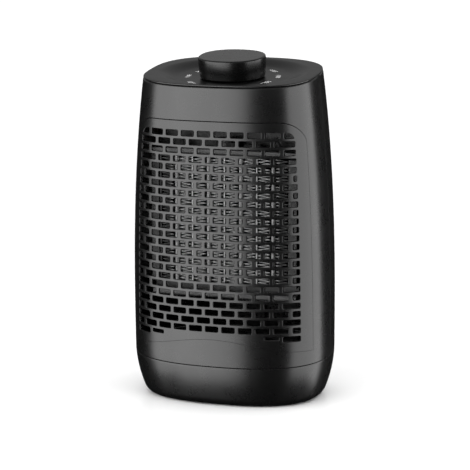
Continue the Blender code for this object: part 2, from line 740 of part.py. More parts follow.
# ---------------------------------------------------------------- fan and motor
def make_fan_shroud():
    """The fan's duct ring, with a four-armed spider behind it that carries the motor."""
    outer = DUCT_R + DUCT_WALL
    duct = add_turned("fan_shroud", ring_profile(outer, DUCT_R, *DUCT_Y), (0, FAN_Z), "Y",
                      "frame", segments=36)
    spider = add_turned("shroud_hub", ring_profile(SPIDER_HUB_R, 0.0060, *SPIDER_Y),
                        (0, FAN_Z), "Y")
    arms = []
    for index in range(4):
        arm = add_box(f"shroud_arm_{index}",
                      (SPIDER_HUB_R - 0.0020, SPIDER_Y[0], -SPIDER_ARM_HALF_WIDTH),
                      (DUCT_R + 0.0010, SPIDER_Y[1], SPIDER_ARM_HALF_WIDTH))
        arm.matrix_basis = (Matrix.Translation((0, 0, FAN_Z))
                            @ Matrix.Rotation(tau * index / 4, 4, "Y"))
        arms.append(arm)
    join(duct, spider, *arms)
    for name, x in (("left", -MOTOR_SCREW_X), ("right", MOTOR_SCREW_X)):
        cut(duct, add_cylinder(f"shroud_screw_{name}", 0.0019, 0.0, 0.02, (x, FAN_Z), "Y"))

    low, high = BAFFLE_Z
    front = DUCT_Y[0]
    plate = add_box("fan_baffle", (-BAFFLE_HALF_WIDTH, front, low),
                    (BAFFLE_HALF_WIDTH, front + WALL, high), "frame")
    cut(plate, add_cylinder("baffle_hole", outer + GAP, -0.02, 0.02, (0, FAN_Z), "Y",
                            segments=36))


def make_impeller():
    hub = add_cylinder("fan_impeller", HUB_R, -0.0040, 0.0070, (0, FAN_Z), "Y", "fan",
                       segments=28)
    blades = []
    for index in range(BLADES):
        blade = add_box(f"blade_{index}", (0.0090, -0.0006, -BLADE_CHORD / 2),
                        (BLADE_TIP_R, 0.0006, BLADE_CHORD / 2))
        pitch = Matrix.Rotation(BLADE_PITCH, 4, "X")
        turn = Matrix.Rotation(tau * index / BLADES, 4, "Y")
        blade.matrix_basis = Matrix.Translation((0, 0.0015, FAN_Z)) @ turn @ pitch
        blades.append(blade)
    join(hub, *blades)
    cut(hub, add_cylinder("impeller_bore", MOTOR_SHAFT_R + GAP, -0.0020, 0.03, (0, FAN_Z), "Y"))


def add_bracket(name, pad, plate, cup):
    """A bearing bracket: bridge plate, two pads on the core and a cup for the bush."""
    low, high = FAN_Z - BRACKET_HALF_HEIGHT, FAN_Z + BRACKET_HALF_HEIGHT
    bridge = add_box(name, (-BRACKET_HALF_WIDTH, plate[0], low),
                     (BRACKET_HALF_WIDTH, plate[1], high), "steel")
    parts = []
    for side, x in (("left", -MOTOR_SCREW_X), ("right", MOTOR_SCREW_X)):
        parts.append(add_box(f"{name}_pad_{side}", (x - BRACKET_PAD_HALF_WIDTH, pad[0], low),
                             (x + BRACKET_PAD_HALF_WIDTH, pad[1], high)))
    parts.append(add_cylinder(f"{name}_cup", BRACKET_CUP_R, *cup, (0, FAN_Z), "Y"))
    join(bridge, *parts)
    cut(bridge, add_cylinder(f"{name}_bore", BUSH_R + GAP, 0.0, 0.06, (0, FAN_Z), "Y"))
    for side, x in (("left", -MOTOR_SCREW_X), ("right", MOTOR_SCREW_X)):
        cut(bridge, add_cylinder(f"{name}_hole_{side}", SCREW_HOLE_R, 0.0, 0.06, (x, FAN_Z), "Y"))


def make_motor():
    core_front, core_back = CORE_Y
    core_low, core_high = (FAN_Z + z for z in CORE_SPAN)
    window_low, window_high = (FAN_Z + z for z in CORE_WINDOW)
    coil_low, coil_high = (FAN_Z + z for z in COIL_SPAN)
    core = add_box("motor_core", (-CORE_HALF_WIDTH, core_front, core_low),
                   (CORE_HALF_WIDTH, core_back, core_high), "lamination")
    cut(core,
        add_cylinder("core_bore", ROTOR_R + 0.0006, 0.0, 0.06, (0, FAN_Z), "Y", segments=36),
        add_box("core_window", (-CORE_WINDOW_HALF_WIDTH, 0.0, window_low),
                (CORE_WINDOW_HALF_WIDTH, 0.06, window_high)))
    for side, x in (("left", -MOTOR_SCREW_X), ("right", MOTOR_SCREW_X)):
        cut(core, add_cylinder(f"core_hole_{side}", SCREW_HOLE_R, 0.0, 0.06, (x, FAN_Z), "Y"))
        screw = add_cylinder(f"motor_screw_{side}", 0.0014, 0.0088, 0.0420, (x, FAN_Z), "Y",
                             "steel")
        join(screw, add_cylinder(f"motor_screw_{side}_head", SCREW_HEAD_R, 0.0405, 0.0425,
                                 (x, FAN_Z), "Y"))

    coil = add_box("motor_coil", (-COIL_HALF_WIDTH, core_front - COIL_OVERHANG, coil_low),
                   (COIL_HALF_WIDTH, core_back + COIL_OVERHANG, coil_high), "copper",
                   bevel=0.003)
    cut(coil, add_box("coil_hole", (-0.03, core_front - GAP, window_high - GAP),
                      (0.03, core_back + GAP, core_high + GAP)))

    add_turned("motor_rotor", ring_profile(ROTOR_R, MOTOR_SHAFT_R + GAP, core_front, core_back),
               (0, FAN_Z), "Y", "lamination", segments=28)
    add_cylinder("motor_shaft", MOTOR_SHAFT_R, -0.0017, 0.0430, (0, FAN_Z), "Y", "steel")

    add_bracket("motor_bracket_front", (0.0113, core_front - GAP), (0.0130, 0.0146),
                (0.0113, 0.0170))
    add_bracket("motor_bracket_rear", (core_back + GAP, 0.0400), (0.0384, 0.0400),
                (0.0360, 0.0425))
    for name, start, end in (("bush_front", 0.0115, 0.0168), ("bush_rear", 0.0362, 0.0415)):
        add_turned(name, ring_profile(BUSH_R, MOTOR_SHAFT_R + 0.0001, start, end),
                   (0, FAN_Z), "Y", "bronze")


# ---------------------------------------------------------------- tip-over switch
def make_tip_switch():
    plunger = add_cylinder("tip_plunger", PLUNGER_R, 0.0, PLUNGER_TOP_Z, slot="switch")
    join(plunger, add_cylinder("plunger_collar", COLLAR_R, *COLLAR_Z))

    housing = add_box("tip_housing",
                      (-HOUSING_HALF_WIDTH, -HOUSING_HALF_DEPTH, BASE_BOTTOM_Z + WALL + GAP),
                      (HOUSING_HALF_WIDTH, HOUSING_HALF_DEPTH, HOUSING_TOP_Z), "frame")
    inner = HOUSING_HALF_WIDTH - WALL
    cut(housing,
        add_box("housing_space", (-inner, -0.02, -0.01), (inner, 0.02, HOUSING_TOP_Z - WALL)),
        add_cylinder("housing_hole", PLUNGER_R + 0.0006, 0.01, 0.04))

    make_plunger_spring()

    left, right = MICROSWITCH_X
    body = add_box("tip_microswitch", (left, -MICROSWITCH_HALF_DEPTH, MICROSWITCH_FLOOR_Z),
                   (right, MICROSWITCH_HALF_DEPTH, SWITCH_TOP_Z), "switch", bevel=0.0004)
    pivot_x, pivot_z = LEVER_PIVOT
    for side, sign in (("left", -1.0), ("right", 1.0)):
        y_low, y_high = sorted((sign * 0.0034, sign * 0.0044))
        join(body, add_box(f"ear_{side}", (pivot_x - 0.0011, y_low, SWITCH_TOP_Z - 0.001),
                           (pivot_x + 0.0016, y_high, pivot_z + 0.0014)))
    cut(body, add_cylinder("ear_bore", 0.0008, -0.01, 0.01, (pivot_x, pivot_z), "Y"))

    lever = add_box("tip_lever", (-0.0040, -LEVER_HALF_WIDTH, PLUNGER_TOP_Z + GAP),
                    (pivot_x + 0.0004, LEVER_HALF_WIDTH, PLUNGER_TOP_Z + 0.0008), "steel")
    join(lever, add_cylinder("lever_pin", LEVER_PIN_R, -0.0048, 0.0048, (pivot_x, pivot_z), "Y",
                             segments=12))


def make_plunger_spring():
    """A compression spring round the plunger, between its collar and the housing."""
    low, high = SPRING_Z
    per_turn, wire = 10, SPRING_WIRE_R
    curve = bpy.data.curves.new("plunger_spring", "CURVE")
    curve.dimensions = "3D"
    curve.bevel_depth = wire
    curve.bevel_resolution = 2
    curve.render_resolution_u = 0
    curve.use_fill_caps = True
    count = SPRING_TURNS * per_turn + 1
    spline = curve.splines.new("POLY")
    spline.points.add(count - 1)
    for i, point in enumerate(spline.points):
        turn = tau * i / per_turn
        rise = low + wire + (high - low - 2 * wire) * i / (count - 1)
        point.co = (SPRING_R * cos(turn), SPRING_R * sin(turn), rise, 1.0)
    spring = bpy.data.objects.new("plunger_spring", curve)
    curve.materials.append(MATERIALS["steel"])
    PARTS.objects.link(spring)


# ---------------------------------------------------------------- mains side
def make_mains_side():
    wall_y = body_point(pi, GLAND_Z).y
    outside, inside = wall_y + 0.0004, wall_y - WALL - 0.0008
    add_turned("cord_gland", [
        (GLAND_BORE_R, wall_y + 0.0025), (0.0075, wall_y + 0.0025), (0.0085, wall_y + 0.0015),
        (0.0085, outside), (GLAND_NECK_R, outside), (GLAND_NECK_R, inside),
        (0.0074, inside), (0.0074, inside - 0.0020), (GLAND_BORE_R, inside - 0.0020),
    ], (0, GLAND_Z), "Y", "rubber")

    block = add_box("terminal_block", (0.0080, 0.0200, BASE_BOTTOM_Z + WALL + GAP),
                    (0.0320, 0.0310, 0.0150), "switch", bevel=0.0006)
    for index in range(3):
        x = 0.0120 + 0.0080 * index
        cut(block, add_cylinder(f"terminal_way_{index}", 0.0016, 0.01, 0.05, (x, 0.0090), "Y",
                                segments=16))


def make_heater():
    make_casing()
    make_base_cover()
    make_feet_and_screws()
    make_top_panel()
    make_control()
    make_heating_element()
    make_fan_shroud()
    make_impeller()
    make_motor()
    make_tip_switch()
    make_mains_side()


make_heater()
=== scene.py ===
"""Looks of the tabletop ceramic fan heater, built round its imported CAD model.

Metres, +Z up, the front grille towards -Y.  The casing pieces are remade here as fine meshes on
the same body surface as the CAD; the pieces inside keep their CAD shapes or are detailed further.
"""

import json
from math import atan, cos, pi, radians, sin, tan, tau

import bpy
import bmesh
import numpy as np
from mathutils import Matrix, Vector
from mathutils.geometry import delaunay_2d_cdt
from mathutils.kdtree import KDTree


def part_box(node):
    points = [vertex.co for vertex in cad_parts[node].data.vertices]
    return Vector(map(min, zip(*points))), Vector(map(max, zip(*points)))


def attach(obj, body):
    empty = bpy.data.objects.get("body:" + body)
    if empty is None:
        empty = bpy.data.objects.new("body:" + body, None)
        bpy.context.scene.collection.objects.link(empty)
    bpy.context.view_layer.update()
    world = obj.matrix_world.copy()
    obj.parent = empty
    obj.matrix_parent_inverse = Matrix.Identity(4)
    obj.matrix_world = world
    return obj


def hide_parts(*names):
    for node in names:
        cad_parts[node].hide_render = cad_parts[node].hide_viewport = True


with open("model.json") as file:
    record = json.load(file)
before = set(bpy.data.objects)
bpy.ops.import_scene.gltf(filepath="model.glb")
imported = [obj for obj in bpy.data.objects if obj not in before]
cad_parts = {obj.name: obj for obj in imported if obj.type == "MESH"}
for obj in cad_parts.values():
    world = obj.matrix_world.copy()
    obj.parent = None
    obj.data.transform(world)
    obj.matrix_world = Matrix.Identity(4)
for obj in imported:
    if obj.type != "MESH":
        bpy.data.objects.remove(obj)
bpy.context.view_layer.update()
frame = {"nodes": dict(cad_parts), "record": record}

# ---------------------------------------------------------------- shared dimensions
GAP = 0.0003
WALL = 0.0020

HALF_WIDTH = 0.0723
FRONT_DEPTH = 0.0523
REAR_DEPTH = 0.0561
DEPTH_GROWTH = 0.0010
FRONT_SQUARENESS = 2.49
REAR_SQUARENESS = 2.42
FRONT_SQUARING = 0.42
REAR_SQUARING = 0.33
PLAN_BASE_Z = 0.030
PLAN_RISE = 0.200
PLAN_CENTRE_Y = -0.0026
LEAN = -0.0030

WIDEST_Z = 0.0362
RIM_Z = 0.2337
RIM_TILT = 0.128
TOP_NARROWING = 0.134
TOP_CURVE = 2.57
BASE_NARROWING = 0.111
BASE_CURVE = 1.94
EDGE_HEIGHT = 0.0054
EDGE_INSET = 0.060
SEAM_Z = 0.0326
SEAM_TILT = 0.057
BASE_BOTTOM_Z = 0.0010

PANEL_WIDTH = 0.926
PANEL_TOP_Z = 0.2040
PANEL_CORNER = 0.016
PANEL_ARCH_Z = 0.0453
PANEL_ARCH_RISE = 0.0041
ARCH_HALF_SPAN = 0.066

SLOT_ROWS = 25
SLOT_TOP_ROW_Z = 0.1950
SLOT_ROW_PITCH = 0.0060
SLOT_PITCH = 0.01208
SLOT_WIDTH = 0.0096
SLOT_HEIGHT = 0.0041
SLOT_CORNER = 0.0008
FIELD_WIDTH = 0.834
FIELD_CORNER = 0.0055
FIELD_ARCH_Z = 0.0518
FIELD_ARCH_RISE = 0.0032
SLOT_LEAST = 0.0020

REAR_PANEL_HALF_WIDTH = 0.044
REAR_PANEL_Z = (0.062, 0.196)
REAR_SLOT_PITCH = 0.0085
REAR_SLOT_HEIGHT = 0.0040
REAR_PANEL_CORNER = 0.006
REAR_SLOT_X = (0.0015, 0.0395)    # a slot's two ends, on the right
REAR_SLOT_CORNER = 0.0018
REAR_MARGIN = 0.010               # height of the panel that the rows of slots leave free

LID_Z = 0.23334                   # the lid's plane, a little flatter than the knob's
LID_TILT = 0.1206
RIM_LAP = 0.0007                  # the shells' top above that plane, under the lid's edge
LID_HEIGHT = 0.0015
LID_THICKNESS = 0.00135
DISH_CENTRE_Y = 0.0028
DISH_HALF_WIDTH = 0.0555
DISH_HALF_DEPTH = 0.0452
DISH_DEPTH = 0.0037
DISH_WALL = 0.30

KNOB_Y = -0.0080
KNOB_HALF_WIDTH = 0.0240
KNOB_HALF_DEPTH = 0.0213
KNOB_SQUARENESS = 2.2
KNOB_BOTTOM = -0.0017
KNOB_TOP = 0.01305
NECK_R = 0.0050

PTC_PITCH = 0.0120
FRAME_FOOT_Z = (0.0749, 0.0785)
FRAME_HEAD_Z = (0.1778, 0.1808)
SEAT_Y = -0.0210
PAINTED_LIGHT_NOSE_Y = (-0.0262, -0.0264)       # the fins' front edges lie between these; in front of them the aluminium is painted lighter, painted light
PAINTED_SHADE_OUTER_X = (0.0385, 0.0415)        # the fins are painted dark between these, on both sides: painted shade
# grey of the painted shade on the outer fins
PAINTED_SHADE_OUTER_GREY = 0.045
GLAND_Z = 0.0480
GLAND_NECK_R = 0.0056
GLAND_BORE_R = 0.0035
MEMBRANE_Y = (0.0500, 0.0508)


# ---------------------------------------------------------------- body surface
def body_scale(z):
    above = np.maximum(z - WIDEST_Z, 0.0) / (RIM_Z - WIDEST_Z)
    below = np.maximum(WIDEST_Z - z, 0.0) / WIDEST_Z
    edge = np.minimum(np.maximum(EDGE_HEIGHT - z, 0.0) / EDGE_HEIGHT, 1.0)
    return (1.0 - TOP_NARROWING * above ** TOP_CURVE - BASE_NARROWING * below ** BASE_CURVE
            - EDGE_INSET * (1.0 - np.sqrt(1.0 - edge ** 2)))


def plan_shape(front, z):
    """Centre, half width, half depth and squareness of the body's plan; front is a mask."""
    rise = (z - PLAN_BASE_Z) / PLAN_RISE
    depth = np.where(front, FRONT_DEPTH, REAR_DEPTH)
    squareness = np.where(front, FRONT_SQUARENESS + FRONT_SQUARING * rise,
                          REAR_SQUARENESS + REAR_SQUARING * rise)
    scale = body_scale(z)
    return (PLAN_CENTRE_Y + LEAN * rise, HALF_WIDTH * scale,
            (depth + DEPTH_GROWTH * rise) * scale, squareness)


def body_points(angle, z, inset=0.0):
    """Points on the body, by the angle from the front (-Y) towards +X and the height."""
    angle, z = np.broadcast_arrays(np.asarray(angle, float), np.asarray(z, float))
    centre, half_width, half_depth, squareness = plan_shape(np.cos(angle) > 0.0, z)
    across, along = np.sin(angle), np.cos(angle)
    x = (half_width - inset) * np.sign(across) * np.abs(across) ** (2 / squareness)
    y = -(half_depth - inset) * np.sign(along) * np.abs(along) ** (2 / squareness)
    return np.stack([x, y + centre, z], axis=-1)


def side_points(x, z, inset, front):
    """Points on the front or rear of the body at a given x and height."""
    centre, half_width, half_depth, squareness = plan_shape(front, z)
    share = np.minimum(np.abs(x) / (half_width - inset), 1.0)
    y = (half_depth - inset) * (1.0 - share ** squareness) ** (1 / squareness)
    return np.stack([x, centre + np.where(front, -y, y), z], axis=-1)


def plane_heights(angle, height, slope):
    """Heights where the body meets the plane z = height + slope * (y - PLAN_CENTRE_Y)."""
    z = np.full_like(angle, height)
    for _ in range(8):
        z = height + slope * (body_points(angle, z)[..., 1] - PLAN_CENTRE_Y)
    return z


REFERENCE_ANGLES = np.linspace(-pi, pi, 1441)
_ring = body_points(REFERENCE_ANGLES, 0.12)
_steps = np.linalg.norm(np.diff(_ring, axis=0), axis=1)
REFERENCE_LENGTHS = np.concatenate([[0.0], np.cumsum(_steps)])
REFERENCE_LENGTHS -= REFERENCE_LENGTHS[-1] / 2


GIRTH = REFERENCE_LENGTHS[-1] * 2


def angle_at(length):
    """The plan angle at a length round the body from the middle of its front."""
    return np.interp(length, REFERENCE_LENGTHS, REFERENCE_ANGLES)


def length_at(angle):
    """The length round the body at a plan angle."""
    return np.interp(angle, REFERENCE_ANGLES, REFERENCE_LENGTHS)


# ---------------------------------------------------------------- mesh helpers
def link_mesh(name, verts, faces):
    mesh = bpy.data.meshes.new(name)
    mesh.from_pydata([tuple(v) for v in verts], [], [tuple(f) for f in faces])
    mesh.validate()
    item = bpy.data.objects.new(name, mesh)
    bpy.context.scene.collection.objects.link(item)
    return item


def oriented(loop, anticlockwise):
    """The loop, turned round if it runs the wrong way."""
    area = 0.5 * np.sum(loop[:, 0] * np.roll(loop[:, 1], -1) - np.roll(loop[:, 0], -1) * loop[:, 1])
    return loop if (area > 0) == anticlockwise else loop[::-1]


def loop_normals(loop):
    """Unit normals of a 2D loop, pointing to the right of its direction."""
    before = loop - np.roll(loop, 1, axis=0)
    after = np.roll(loop, -1, axis=0) - loop
    before = before / np.maximum(np.linalg.norm(before, axis=1, keepdims=True), 1e-12)
    after = after / np.maximum(np.linalg.norm(after, axis=1, keepdims=True), 1e-12)
    tangent = before + after
    tangent /= np.maximum(np.linalg.norm(tangent, axis=1, keepdims=True), 1e-12)
    return np.stack([tangent[:, 1], -tangent[:, 0]], axis=-1)


def inside_loop(points, loop):
    """Whether 2D points are inside a closed loop."""
    inside = np.zeros(len(points), bool)
    x, y = points[:, 0], points[:, 1]
    for (ax, ay), (bx, by) in zip(loop, np.roll(loop, -1, axis=0)):
        crosses = (ay > y) != (by > y)
        if by != ay:
            inside ^= crosses & (x < (bx - ax) * (y - ay) / (by - ay) + ax)
    return inside


def resampled(loop, spacing):
    """A closed loop with extra points so that no edge is much longer than spacing."""
    points = []
    for here, there in zip(loop, np.roll(loop, -1, axis=0)):
        count = max(1, int(round(np.linalg.norm(there - here) / spacing)))
        points += [here + (there - here) * i / count for i in range(count)]
    return np.array(points)


def fill_plate(loops, spacing):
    """Triangles of the area between an outer loop and its holes, with interior points."""
    outer = loops[0]
    low, high = outer.min(axis=0), outer.max(axis=0)
    counts = np.maximum(((high - low) / spacing).astype(int), 1)
    grid = np.stack(np.meshgrid(*[np.linspace(a, b, n + 1)[1:-1] + 1e-6 * i
                                  for i, (a, b, n) in enumerate(zip(low, high, counts), 1)]),
                    axis=-1).reshape(-1, 2)
    edge_points = np.concatenate(loops)
    tree = KDTree(len(edge_points))
    for i, point in enumerate(edge_points):
        tree.insert((point[0], point[1], 0.0), i)
    tree.balance()
    keep = inside_loop(grid, outer)
    for loop in loops[1:]:
        near = np.all((grid >= loop.min(axis=0)) & (grid <= loop.max(axis=0)), axis=1)
        if near.any():
            keep[near] &= ~inside_loop(grid[near], loop)
    keep &= np.array([tree.find((x, y, 0.0))[2] > 0.55 * spacing for x, y in grid], bool)
    points = np.concatenate([edge_points, grid[keep]])
    owner = np.full(len(points), -1)
    edges = []
    start = 0
    for index, loop in enumerate(loops):
        count = len(loop)
        owner[start:start + count] = index
        edges += [(start + i, start + (i + 1) % count) for i in range(count)]
        start += count
    result = delaunay_2d_cdt([Vector(p) for p in points], edges, [], 0, 1e-9, True)
    source = [ids[0] if ids else None for ids in result[3]]
    triangles = np.array([[source[i] for i in face] for face in result[2]])
    owners = owner[triangles]
    same = (owners[:, 0] == owners[:, 1]) & (owners[:, 1] == owners[:, 2]) & (owners[:, 0] >= 0)
    good = np.ones(len(triangles), bool)
    centres = points[triangles].mean(axis=1)
    for index, loop in enumerate(loops):
        mine = same & (owners[:, 0] == index)
        if mine.any():
            within = inside_loop(centres[mine], loop)
            good[mine] = within if index == 0 else ~within
    return points, triangles[good]


def add_plate(name, outline, holes, place, edge=0.0004, spacing=0.004, steps=3, edges=None):
    """A moulded plate on a curved surface: rounded front edges, straight walls, flat back.

    outline and holes are 2D loops; place(points, depth) puts 2D points in space at a depth
    under the surface.  edges gives single loops their own edge radius.
    """
    loops = [oriented(np.asarray(outline, float), True)]
    loops += [oriented(np.asarray(hole, float), False) for hole in holes]
    radii = [np.full((len(loop), 1), edge) for loop in loops]
    for index, radius in (edges or {}).items():
        radii[index][:] = radius(loops[index])[:, None] if callable(radius) else radius
    normals = [loop_normals(loop) for loop in loops]
    front_loops = [loop - radius * normal
                   for loop, radius, normal in zip(loops, radii, normals)]
    points, triangles = fill_plate(front_loops, spacing)
    edge_total = sum(len(loop) for loop in loops)
    loop_points = np.concatenate(loops)
    loop_normal = np.concatenate(normals)
    radius = np.concatenate(radii)

    delta = 1e-5

    def surface_normals(p):
        across = place(p + [delta, 0], 0.0) - place(p - [delta, 0], 0.0)
        up = place(p + [0, delta], 0.0) - place(p - [0, delta], 0.0)
        normal = np.cross(across, up)
        return normal / np.linalg.norm(normal, axis=1, keepdims=True)

    surface = surface_normals(points)
    sideways = place(loop_points + delta * loop_normal, 0.0) - place(loop_points, 0.0)
    sideways /= np.maximum(np.linalg.norm(sideways, axis=1, keepdims=True), 1e-12)

    rings, ring_normals = [place(points[:edge_total], 0.0)], [surface[:edge_total]]
    for step in range(1, steps + 1):
        turn = pi / 2 * step / steps
        rings.append(place(loop_points - radius * (1 - sin(turn)) * loop_normal,
                           radius[:, 0] * (1 - cos(turn))))
        ring_normals.append(cos(turn) * surface[:edge_total] + sin(turn) * sideways)
    rings.append(place(loop_points, WALL))
    ring_normals.append(sideways)

    back_points = points.copy()
    back_points[:edge_total] = loop_points
    back = place(back_points, WALL)
    verts = [place(points, 0.0)] + rings[1:-1] + [back]
    starts = np.cumsum([0] + [len(v) for v in verts])
    verts = np.concatenate(verts)

    faces = [tuple(t) for t in triangles]
    corner = [surface[list(t)] for t in faces]
    for row in range(len(rings) - 1):
        near = starts[row] if row else 0
        far = starts[row + 1]
        offset = 0
        for loop in loops:
            count = len(loop)
            for i in range(count):
                a, b = offset + i, offset + (i + 1) % count
                faces.append((near + b, near + a, far + a, far + b))
                corner.append(np.stack([ring_normals[row][b], ring_normals[row][a],
                                        ring_normals[row + 1][a], ring_normals[row + 1][b]]))
            offset += count
    back_start = starts[-2]
    for t in triangles[:, ::-1]:
        faces.append(tuple(back_start + t))
        corner.append(-surface[t])
    item = link_mesh(name, verts, faces)
    item.data.shade_smooth()
    if len(item.data.polygons) == len(faces):
        item.data.normals_split_custom_set([tuple(n) for n in np.concatenate(corner)])
    return item


def add_loft(name, rings, cap_start=False, cap_end=False, closed=False, sharp=40):
    """Quads through rings of points; caps are fans to the ring's middle."""
    count = len(rings[0])
    verts = [point for ring in rings for point in ring]
    faces = []
    pairs = list(zip(range(len(rings)), range(1, len(rings))))
    if closed:
        pairs.append((len(rings) - 1, 0))
    for low, high in pairs:
        for i in range(count):
            j = (i + 1) % count
            faces.append((low * count + i, low * count + j, high * count + j, high * count + i))
    for wanted, index in ((cap_start, 0), (cap_end, len(rings) - 1)):
        if wanted:
            verts.append(np.mean(rings[index], axis=0))
            for i in range(count):
                faces.append((index * count + i, index * count + (i + 1) % count, len(verts) - 1))
    item = link_mesh(name, verts, faces)
    bm = bmesh.new()
    bm.from_mesh(item.data)
    bmesh.ops.recalc_face_normals(bm, faces=bm.faces)
    bm.to_mesh(item.data)
    bm.free()
    item.data.shade_smooth()
    item.data.set_sharp_from_angle(angle=radians(sharp))
    return item


def even_angles(count):
    return -pi + tau * np.arange(count) / count


# ---------------------------------------------------------------- materials
def new_material(name):
    """A material with its nodes, its links and its shader."""
    made = bpy.data.materials.new(name)
    made.use_nodes = True
    nodes, links = made.node_tree.nodes, made.node_tree.links
    return made, nodes, links, nodes["Principled BSDF"]


def blended(nodes, links, vector, axis, span, base, other):
    """A colour that turns from base to other as one coordinate goes from span[0] to span[1]."""
    split = nodes.new("ShaderNodeSeparateXYZ")
    links.new(vector, split.inputs["Vector"])
    share = nodes.new("ShaderNodeMapRange")
    share.inputs["From Min"].default_value, share.inputs["From Max"].default_value = span
    links.new(split.outputs[axis], share.inputs["Value"])
    mix = nodes.new("ShaderNodeMix")
    mix.data_type = "RGBA"
    links.new(share.outputs["Result"], mix.inputs["Factor"])
    links.new(base, mix.inputs["A"])
    mix.inputs["B"].default_value = other
    return mix.outputs["Result"]


TONE_SPREAD = 0.06                # share by which the mottling changes a colour
GLOSS_SPREAD = 0.04               # and what it adds to or takes from the roughness
MOTTLE_SCALE = 90.0
RELIEF_DEPTH = 0.00004
PAINTED_LIGHT_FACING_UP = (0.90, 0.97)          # a normal's height from which a face counts as a top and is painted lighter: painted light from above


def textured(name, colour, roughness, metallic=0.0, grain=2600.0, bump=0.08, specular=0.5,
             top=None, nose=None):
    """A moulded or metal surface: fine grain as bump, faint mottling of tone and gloss.

    top is a grey painted on faces that point up: painted light from above.  nose is a grey
    painted on what lies at the element's front: painted light there; the colour turns dark
    towards both sides as painted shade.
    """
    made, nodes, links, shader = new_material(name)
    shader.inputs["Metallic"].default_value = metallic
    shader.inputs["Specular IOR Level"].default_value = specular
    place = nodes.new("ShaderNodeTexCoord")

    broad = nodes.new("ShaderNodeTexNoise")
    broad.inputs["Scale"].default_value = MOTTLE_SCALE
    broad.inputs["Detail"].default_value = 3.0
    links.new(place.outputs["Object"], broad.inputs["Vector"])

    tone = nodes.new("ShaderNodeValToRGB")
    tone.color_ramp.elements[0].position = 0.3
    tone.color_ramp.elements[1].position = 0.7
    tone.color_ramp.elements[0].color = (*[c * (1 - TONE_SPREAD) for c in colour], 1)
    tone.color_ramp.elements[1].color = (*[c * (1 + TONE_SPREAD) for c in colour], 1)
    links.new(broad.outputs["Fac"], tone.inputs["Fac"])
    colour_socket = tone.outputs["Color"]
    # painted light: faces that point up are painted the lighter top grey
    if top:
        colour_socket = blended(nodes, links, place.outputs["Normal"], "Z", PAINTED_LIGHT_FACING_UP,
                                colour_socket, (top, top, top, 1))
    # painted light: the element's front is painted the lighter nose grey
    if nose:
        colour_socket = blended(nodes, links, place.outputs["Object"], "Y", PAINTED_LIGHT_NOSE_Y,
                                colour_socket, (nose, nose, nose, 1))
        # painted shade: the outer fins turn dark towards both sides
        for side in (-1, 1):
            colour_socket = blended(nodes, links, place.outputs["Object"], "X",
                                    (side * PAINTED_SHADE_OUTER_X[0], side * PAINTED_SHADE_OUTER_X[1]), colour_socket,
                                    (PAINTED_SHADE_OUTER_GREY, PAINTED_SHADE_OUTER_GREY, PAINTED_SHADE_OUTER_GREY, 1))
    links.new(colour_socket, shader.inputs["Base Color"])

    gloss = nodes.new("ShaderNodeMapRange")
    gloss.inputs["To Min"].default_value = roughness - GLOSS_SPREAD
    gloss.inputs["To Max"].default_value = roughness + GLOSS_SPREAD
    links.new(broad.outputs["Fac"], gloss.inputs["Value"])
    links.new(gloss.outputs["Result"], shader.inputs["Roughness"])

    fine = nodes.new("ShaderNodeTexNoise")
    fine.inputs["Scale"].default_value = grain
    fine.inputs["Detail"].default_value = 2.0
    links.new(place.outputs["Object"], fine.inputs["Vector"])
    relief = nodes.new("ShaderNodeBump")
    relief.inputs["Strength"].default_value = bump
    relief.inputs["Distance"].default_value = RELIEF_DEPTH
    links.new(fine.outputs["Fac"], relief.inputs["Height"])
    links.new(relief.outputs["Normal"], shader.inputs["Normal"])
    return made


PLASTIC_BLACK = (0.0012, 0.0012, 0.00122)

MATERIALS = {
    "shell": textured("satin_black", PLASTIC_BLACK, 0.28),
    "grille": textured("satin_black_grille", PLASTIC_BLACK, 0.28),
    "panel": textured("satin_black_panel", PLASTIC_BLACK, 0.33),
    # the knob's top faces are painted a lighter grey than its plastic: painted light from above
    "knob": textured("satin_black_knob_painted_top_light", PLASTIC_BLACK, 0.27, specular=0.38, top=0.014),
    "frame": textured("glass_filled_plastic", (0.012, 0.012, 0.012), 0.50, grain=1500, bump=0.2),
    # a lighter copy of the frame plastic for the element's front bars: painted light
    "element": textured("element_bar_plastic_painted_light", (0.06, 0.06, 0.06), 0.50, grain=1500, bump=0.2),
    "rubber": textured("rubber_black", (0.010, 0.010, 0.010), 0.80, bump=0.25),
    # the fins' grey is painted far darker than bare aluminium, painted shade inside the casing, and
    # lighter at their front edges as painted light
    "aluminium": textured("mill_aluminium_painted_shade_and_light", (0.10, 0.10, 0.10), 0.40, 1.0, grain=900, bump=0.1,
                          nose=0.21),
    # the tubes' grey is painted darker than bare aluminium: painted shade inside the casing
    "tube": textured("dull_aluminium_painted_shade", (0.25, 0.25, 0.25), 0.50, 0.6, grain=900, bump=0.1),
    "steel": textured("zinc_steel", (0.55, 0.56, 0.58), 0.32, 1.0, grain=1200, bump=0.1),
    "lamination": textured("varnished_steel", (0.12, 0.12, 0.13), 0.45, 0.7, grain=1500),
    "copper": textured("copper_wire", (0.48, 0.19, 0.08), 0.38, 0.9, grain=1800, bump=0.3),
    "bronze": textured("sintered_bronze", (0.46, 0.30, 0.13), 0.50, 0.9, grain=2500, bump=0.3),
    "brass": textured("bright_brass", (0.68, 0.50, 0.20), 0.28, 1.0),
    "switch": textured("black_moulding", (0.016, 0.016, 0.017), 0.45, bump=0.1),
    "fan": textured("dark_grey_plastic", (0.03, 0.03, 0.032), 0.48, bump=0.1),
    "marking": textured("printed_grey", (0.48, 0.48, 0.48), 0.55, bump=0.0),
}


def finish_piece(item, material, slot, body, *replaced):
    """Gives a piece its material and the body it rides on, and hides the nodes it replaces; slot is
    not used.
    """
    item.data.materials.clear()
    item.data.materials.append(MATERIALS[material])
    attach(item, body)
    if replaced:
        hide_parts(*replaced)


